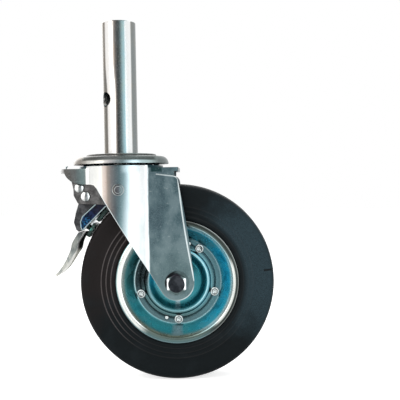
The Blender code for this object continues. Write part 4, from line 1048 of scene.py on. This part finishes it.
def rimPath():
    r = rim
    half = r["sheet"] / 2
    disc, bowl, ridge, wide = r["discY"] - half, r["bowlY"] - half, r["ridge"], r["ridgeWide"]
    return [(r["radius"] - half, r["lipY"] - 1.6 * mm), (r["radius"] - 3 * mm, r["lipY"] - half),
            (r["lipInner"] + 1.7 * mm, r["lipY"] - 1.3 * mm), (r["lipInner"], r["lipY"] - 2.8 * mm),
            (r["cone"] + 1.2 * mm, disc + 1.6 * mm), (r["cone"] - 0.4 * mm, disc + 0.4 * mm),
            (r["cone"] - 1.6 * mm, disc), (r["groove"] + r["grooveHalf"], disc),
            (r["groove"], disc - r["grooveDeep"]), (r["groove"] - r["grooveHalf"], disc),
            (ridge + wide, disc), (ridge + wide / 2, disc + r["ridgeHeight"] * 0.8),
            (ridge, disc + r["ridgeHeight"]), (ridge - wide / 2, disc + r["ridgeHeight"] * 0.7),
            (r["bowl"], bowl + r["bowlRise"]), (r["bowlFoot"], bowl), (r["hub"] + r["hubGap"], bowl)]


def makeRim(shader):
    outside, inside = [smoothPath(offset(rimPath(), rim["sheet"] / side), 4) for side in (2, -2)]
    near = lathe(outside + inside[::-1], rim["segments"], axle, "Y")
    far = mirrored(near)
    piece("rimNear", near, shader, "wheel", ["rim_near"])
    piece("rimFar", far, shader, "wheel", ["rim_far"])


tyre = inMm({"radius": 100, "half": 25, "crown": 1.2, "shoulder": 5, "dish": 1.5, "fit": 0.3,
             "ribs": (77, 71.5, 66), "ribHeight": 0.8,
             "ribCurve": ((2.1, 0), (0.7, 0.64), (0, 0.8), (-0.7, 0.64), (-1.9, 0)),
             "wallCurve": ((-9, -0.1), (-14, -0.5))}) | {"segments": 192}


def tyreProfile():
    t = tyre
    radius, half, crown, shoulder = t["radius"], t["half"], t["crown"], t["shoulder"]
    wall, lip = half - t["dish"], rim["radius"] + t["fit"]
    base = offset(rimPath()[:6], rim["sheet"] / 2 + t["fit"])
    side = [(radius, 0), (radius - crown * 0.12, half * 0.3), (radius - crown / 2, half - 2 * shoulder)]
    side += arc((radius - crown - shoulder, half - shoulder), shoulder, 0, 90, 6)
    side += [(radius + down, half + back) for down, back in t["wallCurve"]]
    side += [(rib + out, wall + height) for rib in t["ribs"] for out, height in t["ribCurve"]][:-1]
    return bothEnds(side + [(lip, wall - t["ribHeight"]), (lip, base[0][1])] + base)


def makeTyre(shader):
    mesh = lathe(tyreProfile(), tyre["segments"], axle, "Y")
    piece("tyreBody", mesh, shader, "wheel", ["tyre"], angle=45)


hub = inMm({"bore": 12.8, "half": 27, "bush": (
    (8.6, 13), (12.5, 13), (12.5, 27.3), (15, 27.3), (15, 28.5), (14.7, 28.8), (8.6, 28.8))})
hub["segments"] = 96


def makeHub(shader, dark):
    pipe = tube(hub["bore"], rim["hub"], -hub["half"], hub["half"], axle, "Y", hub["segments"])
    piece("hubTube", pipe, shader, "wheel", ["hub_tube"])
    near = lathe(hub["bush"], hub["segments"], axle, "Y")
    far = mirrored(near)
    piece("hubBushNear", near, dark, "wheel", ["hub_bush_near"])
    piece("hubBushFar", far, dark, "wheel", ["hub_bush_far"])


# Rivets: each cap's outline is out from the axis and up from the rim's face
rivet = {"circle": 40 * mm, "fit": 0.3 * mm, "count": 5, "start": -17.3, "smallTurns": (71.7, -107.5)}
rivet["big"] = inMm({"shank": 3.2, "cap": (
    (4.65, 0), (4.65, 0.9), (4.35, 1.5), (3.75, 1.8), (3.15, 1.7), (2.8, 1.1), (2.4, 1.6), (2.1, 1.5),
    (1.9, 0.9), (1.178, 0.7), (0.95, 1.2), (0, 1.3))})
rivet["small"] = inMm({"shank": 1.6, "cap": ((2.5, 0), (2.3, 0.5), (1.75, 1), (0.875, 1.25), (0, 1.25))})


def rivetProfile(kind):
    face, shank, cap = rim["discY"] + rivet["fit"], rivet[kind]["shank"], rivet[kind]["cap"]
    inside = face - rim["sheet"] - rim["grooveDeep"] - 2 * rivet["fit"]
    inner = [(cap[0][0], inside), (shank, inside), (shank, face)]
    return bothEnds(inner + [(out, face + up) for out, up in cap])


def onRim(turn):
    return (axle.x + rivet["circle"] * math.cos(turn), 0, axle.z + rivet["circle"] * math.sin(turn))


def makeRivets(shader):
    for i in range(rivet["count"]):
        spot = onRim(math.radians(rivet["start"]) - math.tau * i / rivet["count"])
        mesh = lathe(rivetProfile("big"), 40, spot, "Y")
        piece(f"rimRivet{i + 1}", mesh, shader, "wheel", [f"rim_rivet_{i + 1}"])
    for i, turn in enumerate(rivet["smallTurns"], 1):
        mesh = lathe(rivetProfile("small"), 32, onRim(math.radians(turn)), "Y")
        piece(f"smallRivet{i}", mesh, shader, "wheel", [f"small_rivet_{i}"])


# Brake: bracket, pins, spring, lever, shoes and pedal
brake = inMm({"bracketY": 26.5, "sheet": 3, "webFront": -50, "webBack": -34, "stop": (-40.5, -34),
              "stopRadius": 2.5, "pivotRadius": 4, "dome": 5.2, "domeHeight": 2.2, "fit": 0.3, "edge": 0.45,
              "webCorner": 3, "cheekTop": -28.5,
              "cheekFront": ((3.5, -36, 0), (3.6, -42, 2)),         # from the web's front
              "cheekBack": ((-42, -50.4, 2.5), (-12.5, -51.8, 2), (-15, -42, 3), (-24, -31, 4))})


def makeBracket(dark, bright):
    b = brake
    top, front, fit = fork["crownTop"] - fork["sheet"] - b["fit"], b["webFront"], b["fit"]
    cheek = [(front, top, b["webCorner"])] + [(front + x, z, fillet) for x, z, fillet in b["cheekFront"]]
    cheek = rounded(cheek + b["cheekBack"] + [(b["cheekTop"], top, 0)])
    inner, under, far = b["bracketY"] - b["sheet"], top - b["sheet"], 2 * fork["radius"]
    low, web, stop = under - b["sheet"], b["webBack"], (b["stop"][0], 0, b["stop"][1])
    room = slab([(2 * front, -far), (far, -far), (far, under), (2 * front, under)], -inner, inner)
    back = slab([(web, low), (far, low), (far, far), (web, far)], -inner, inner)
    shape = combine("DIFFERENCE", slab(cheek, -b["bracketY"], b["bracketY"]), room, back,
                    rod(b["pivotRadius"] + fit, -far, far, pivot, "Y"),
                    rod(b["stopRadius"] + fit, -far, far, stop, "Y"))
    piece("brakeBracket", shape, dark, "fork", ["brake_bracket"], bevel=b["edge"])
    seat = b["bracketY"] + fit
    for name, radius, place, node in (("stopPin", b["stopRadius"], stop, "stop_pin"),
                                      ("leverPivot", b["pivotRadius"], tuple(pivot), "lever_pivot")):
        half = [(radius, seat)] + arc((0, seat), b["dome"], 0, 90, 10, b["domeHeight"])
        piece(name, lathe(bothEnds(half), 48, place, "Y"), bright, "fork", [node])


spring = inMm({"wire": 0.8, "pitch": 2.6, "top": 3.5, "hookDrop": 3, "tail": 13}) | {
    "turns": 4, "start": 250, "short": 70, "stepsEach": 24}         # turns in degrees


def springPoints():
    b, s = brake, spring
    wire, coil, half = s["wire"], b["stopRadius"] + b["fit"] + s["wire"], s["turns"] * s["pitch"] / 2
    top, hook = fork["crownTop"] + s["top"], fork["hookX"]
    low = fork["crownTop"] - fork["sheet"] - s["hookDrop"]
    points = [(hook + 2 * wire, -half, top), (hook, -half, top - wire), (hook, -half, low)]
    steps = s["stepsEach"] * s["turns"]
    wound = arc(b["stop"], coil, s["start"], s["start"] + s["turns"] * 360 - s["short"], steps)
    points += [(x, -half + 2 * half * i / steps, z) for i, (x, z) in enumerate(wound)]
    clearX = pivot.x - b["pivotRadius"] - b["fit"] - wire
    return points + [(clearX - wire, half, pivot.z), (clearX - b["fit"] / 2, half, pivot.z - s["tail"])]


def makeSpring(shader):
    points = springPoints()
    curve = bpy.data.curves.new("returnSpring", "CURVE")
    curve.dimensions = "3D"
    curve.bevel_depth = spring["wire"]
    curve.bevel_resolution = 4
    curve.use_fill_caps = True
    line = curve.splines.new("POLY")
    line.points.add(len(points) - 1)
    for slot, point in zip(line.points, points):
        slot.co = (*point, 1)
    line.use_smooth = True
    curve.materials.append(shader.owner)
    result = addObject("returnSpring", curve)
    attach(result, "fork")
    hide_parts("return_spring")


lever = inMm({"outerY": 19.3, "eye": 8, "webTop": 2,
              "web": ((-42.9, -51), (-45.7, -60), (-47.9, -69.5), (-45.4, -77)),
              "back": ((-42.8, -79.25), (-41.6, -75), (-28, -58.5))}) | {"eyeTurn": (-20, 200)}


def makeLever(dark):
    b, y = brake, lever["outerY"]
    outline = arc((pivot.x, pivot.z), lever["eye"], *lever["eyeTurn"], 30) + lever["web"] + lever["back"]
    arm = folded(outline, lever["web"], y, b["sheet"])
    inner, top = y - b["sheet"], pivot.z - lever["eye"] - lever["webTop"]
    room = slab([(2 * pivot.x, top), (0, top), (0, 0), (2 * pivot.x, 0)], -inner, inner)
    hole = rod(b["pivotRadius"] + b["fit"], -inner * 2, inner * 2, pivot, "Y")
    arm = combine("DIFFERENCE", arm, room, hole)
    piece("leverArm", arm, dark, "brake_lever", ["lever_arm"], bevel=b["edge"])


shoe = inMm({"gap": 1, "long": 15, "thick": 4, "half": 15, "bolt": 3, "reach": 113, "edge": 0.4,
             "channelY": 22.9, "fillet": 1, "channelEdge": 0.8, "past": 10,
             "outline": ((-13.4, -50.4), (-24.9, -50.8), (-38.7, -63.2), (-40.9, -68.7), (-40.6, -74.5),
                         (-38.9, -78.3), (-14.1, -53.5))}) | {"turns": (148.3, 137.8)}


def shoeParts(turn):
    s = shoe
    face, end = tyre["radius"] + s["gap"], s["long"] / 2
    middle, back = face + s["thick"] / 2, face + s["thick"]
    bar = slab([(-end, face), (end, face), (end, back), (-end, back)], -s["half"], s["half"])
    shape = combine("UNION", bar, rod(s["bolt"], middle, s["reach"]))
    drill = rod(s["bolt"] + brake["fit"], back, s["reach"] + s["past"])
    return [moved(mesh, Matrix.Translation(axle) @ spun(90 - turn, "Y")) for mesh in (shape, drill)]


def makeShoes(shader, channelShader):
    s = shoe
    web = s["outline"][-2:]
    outline = rounded([(x, z, s["fillet"]) for x, z in web + s["outline"][:-2]])
    body = folded(outline, web, s["channelY"], brake["sheet"])
    for i, turn in enumerate(s["turns"], 1):
        shape, drill = shoeParts(turn)
        body = combine("DIFFERENCE", body, drill)
        piece(f"brakeShoe{i}", shape, shader, "brake_lever", [f"brake_shoe_{i}"], bevel=s["edge"])
    piece("shoeChannel", body, channelShader, "brake_lever", ["shoe_channel"],
          bevel=s["channelEdge"], segments=3)


pedal = inMm({"outerY": 22.2, "sheet": 2.5, "edge": 0.5,
              "back": ((-42.9, -79.6), (-46.4, -84.8), (-49.9, -91), (-50.9, -96), (-53.6, -102.5),
                       (-58.5, -111.6), (-63.9, -119), (-67.4, -122.6)),
              "front": ((-65.3, -124.2), (-59.6, -118.7), (-54.2, -111.4), (-49.2, -103.4), (-45.6, -98.1),
                        (-43.9, -91), (-41.6, -85.9), (-38.6, -80.4))})


def makePedal(shader):
    back, front = smoothPath(pedal["back"], 4), smoothPath(pedal["front"], 4)
    mesh = folded(back + front, back, pedal["outerY"], pedal["sheet"])
    piece("pedalFold", mesh, shader, "brake_lever", ["pedal"], bevel=pedal["edge"])


# Studio: a white floor and world to the eye and to reflections, and a plain level for the rest
studio = {"floorZ": axle.z - tyre["radius"], "floorSize": 6.0, "paper": (0.9, 0.9, 0.9), "floorGlow": 0.72,
          "ambient": (0.42, 0.42, 0.42), "white": (1, 1, 1), "aim": (0.03, 0, -0.08),
          "lamps": {                    # place, size, power and colour
              "keyLamp": ((-0.8, -1.2, 0.8), (1.2, 1.5), 14, (1.0, 0.98, 0.95)),
              "fillLamp": ((0.85, -1.3, 0.3), (0.7, 1.6), 7, (0.94, 0.97, 1.0)),
              "topLamp": ((0.1, 0.3, 1.3), (1.2, 1.2), 7, (1.0, 1.0, 1.0)),
              "backLamp": ((-0.5, 1.3, 0.5), (1.1, 1.1), 6, (1.0, 1.0, 1.0))}}


def seenWhite(shader):
    camera, glossy, through = [shader.add("ShaderNodeLightPath", output=f"Is {name} Ray")
                               for name in ("Camera", "Glossy", "Transmission")]
    return (camera + glossy + through).atMost(1)


def makeFloor():
    mesh = bmesh.new()
    bmesh.ops.create_grid(mesh, x_segments=1, y_segments=1, size=studio["floorSize"])
    data = bpy.data.meshes.new("floor")
    mesh.to_mesh(data)
    mesh.free()
    floor = addObject("floor", data)
    floor.location = (0, 0, studio["floorZ"])
    shader = finish("floorPaper", 0.0, 0.9)
    shader.set(colour=studio["paper"])
    paper = Value(shader, shader.tree.nodes["Principled BSDF"].outputs[0])
    glow = shader.add("ShaderNodeEmission", {}, {"Color": studio["white"], "Strength": studio["floorGlow"]})
    lit = shader.add("ShaderNodeAddShader", {}, {0: glow, 1: paper})
    mixed = shader.add("ShaderNodeMixShader", {}, {0: seenWhite(shader), 1: paper, 2: lit})
    shader.put(shader.tree.nodes["Material Output"].inputs["Surface"], mixed)
    data.materials.append(shader.owner)


def makeWorld():
    bpy.context.scene.world = bpy.data.worlds.new("world")
    shader = Shader(bpy.context.scene.world)
    colour = shader.blend(seenWhite(shader), studio["ambient"], studio["white"])
    shader.put(shader.tree.nodes["Background"].inputs["Color"], colour)


def makeLamps():
    for name, (place, size, power, colour) in studio["lamps"].items():
        data = bpy.data.lights.new(name, "AREA")
        data.shape = "RECTANGLE"
        data.size, data.size_y = size
        data.energy = power
        data.color = colour
        lamp = addObject(name, data)
        lamp.location = place
        lamp.rotation_euler = (Vector(studio["aim"]) - Vector(place)).to_track_quat("-Z", "Y").to_euler()


bpy.context.scene.view_settings.view_transform = "Standard"
makeCamera()
makeFloor()
makeWorld()
makeLamps()
print("stage: camera and studio ready")
# black is the finish of the disc that stands in for the shade in the bolt head's recess
plate, dark, black = zinc("zincPlate"), darkSteel("darkSteel"), darkSteel("recessShade")
makeStem(stemZinc("stemPlate"))
makeCover(coverZinc("coverPlate"))
makeFork(forkZinc("forkPlate"))
makeCrossPin(pinZinc("pinPlate"))
makeAxle(plate, boltZinc("boltZinc"), washerZinc("washerZinc"), black)
print("stage: stem, swivel and fork ready")
makeRim(blueZinc("blueZinc"))
makeTyre(rubber("tyreRubber"))
makeHub(plate, dark)
makeRivets(rivetZinc("rivetZinc"))
print("stage: wheel ready")
makeBracket(darkSteel("bracketSteel"), domeZinc("domeZinc"))
makeSpring(plate)
makeLever(darkSteel("leverSteel"))
makeShoes(darkSteel("shoeSteel"), channelSteel("channelSteel"))
makePedal(pedalZinc("pedalPlate"))
for node in ("kingpin", "kingpin_nut", "lower_race_cup", "upper_ball_ring", "lower_ball_ring"):
    carried = frame["nodes"][node]
    carried.data.materials.clear()
    carried.data.materials.append((dark if "ball" in node else plate).owner)
print("stage: brake and carried-over pieces ready")
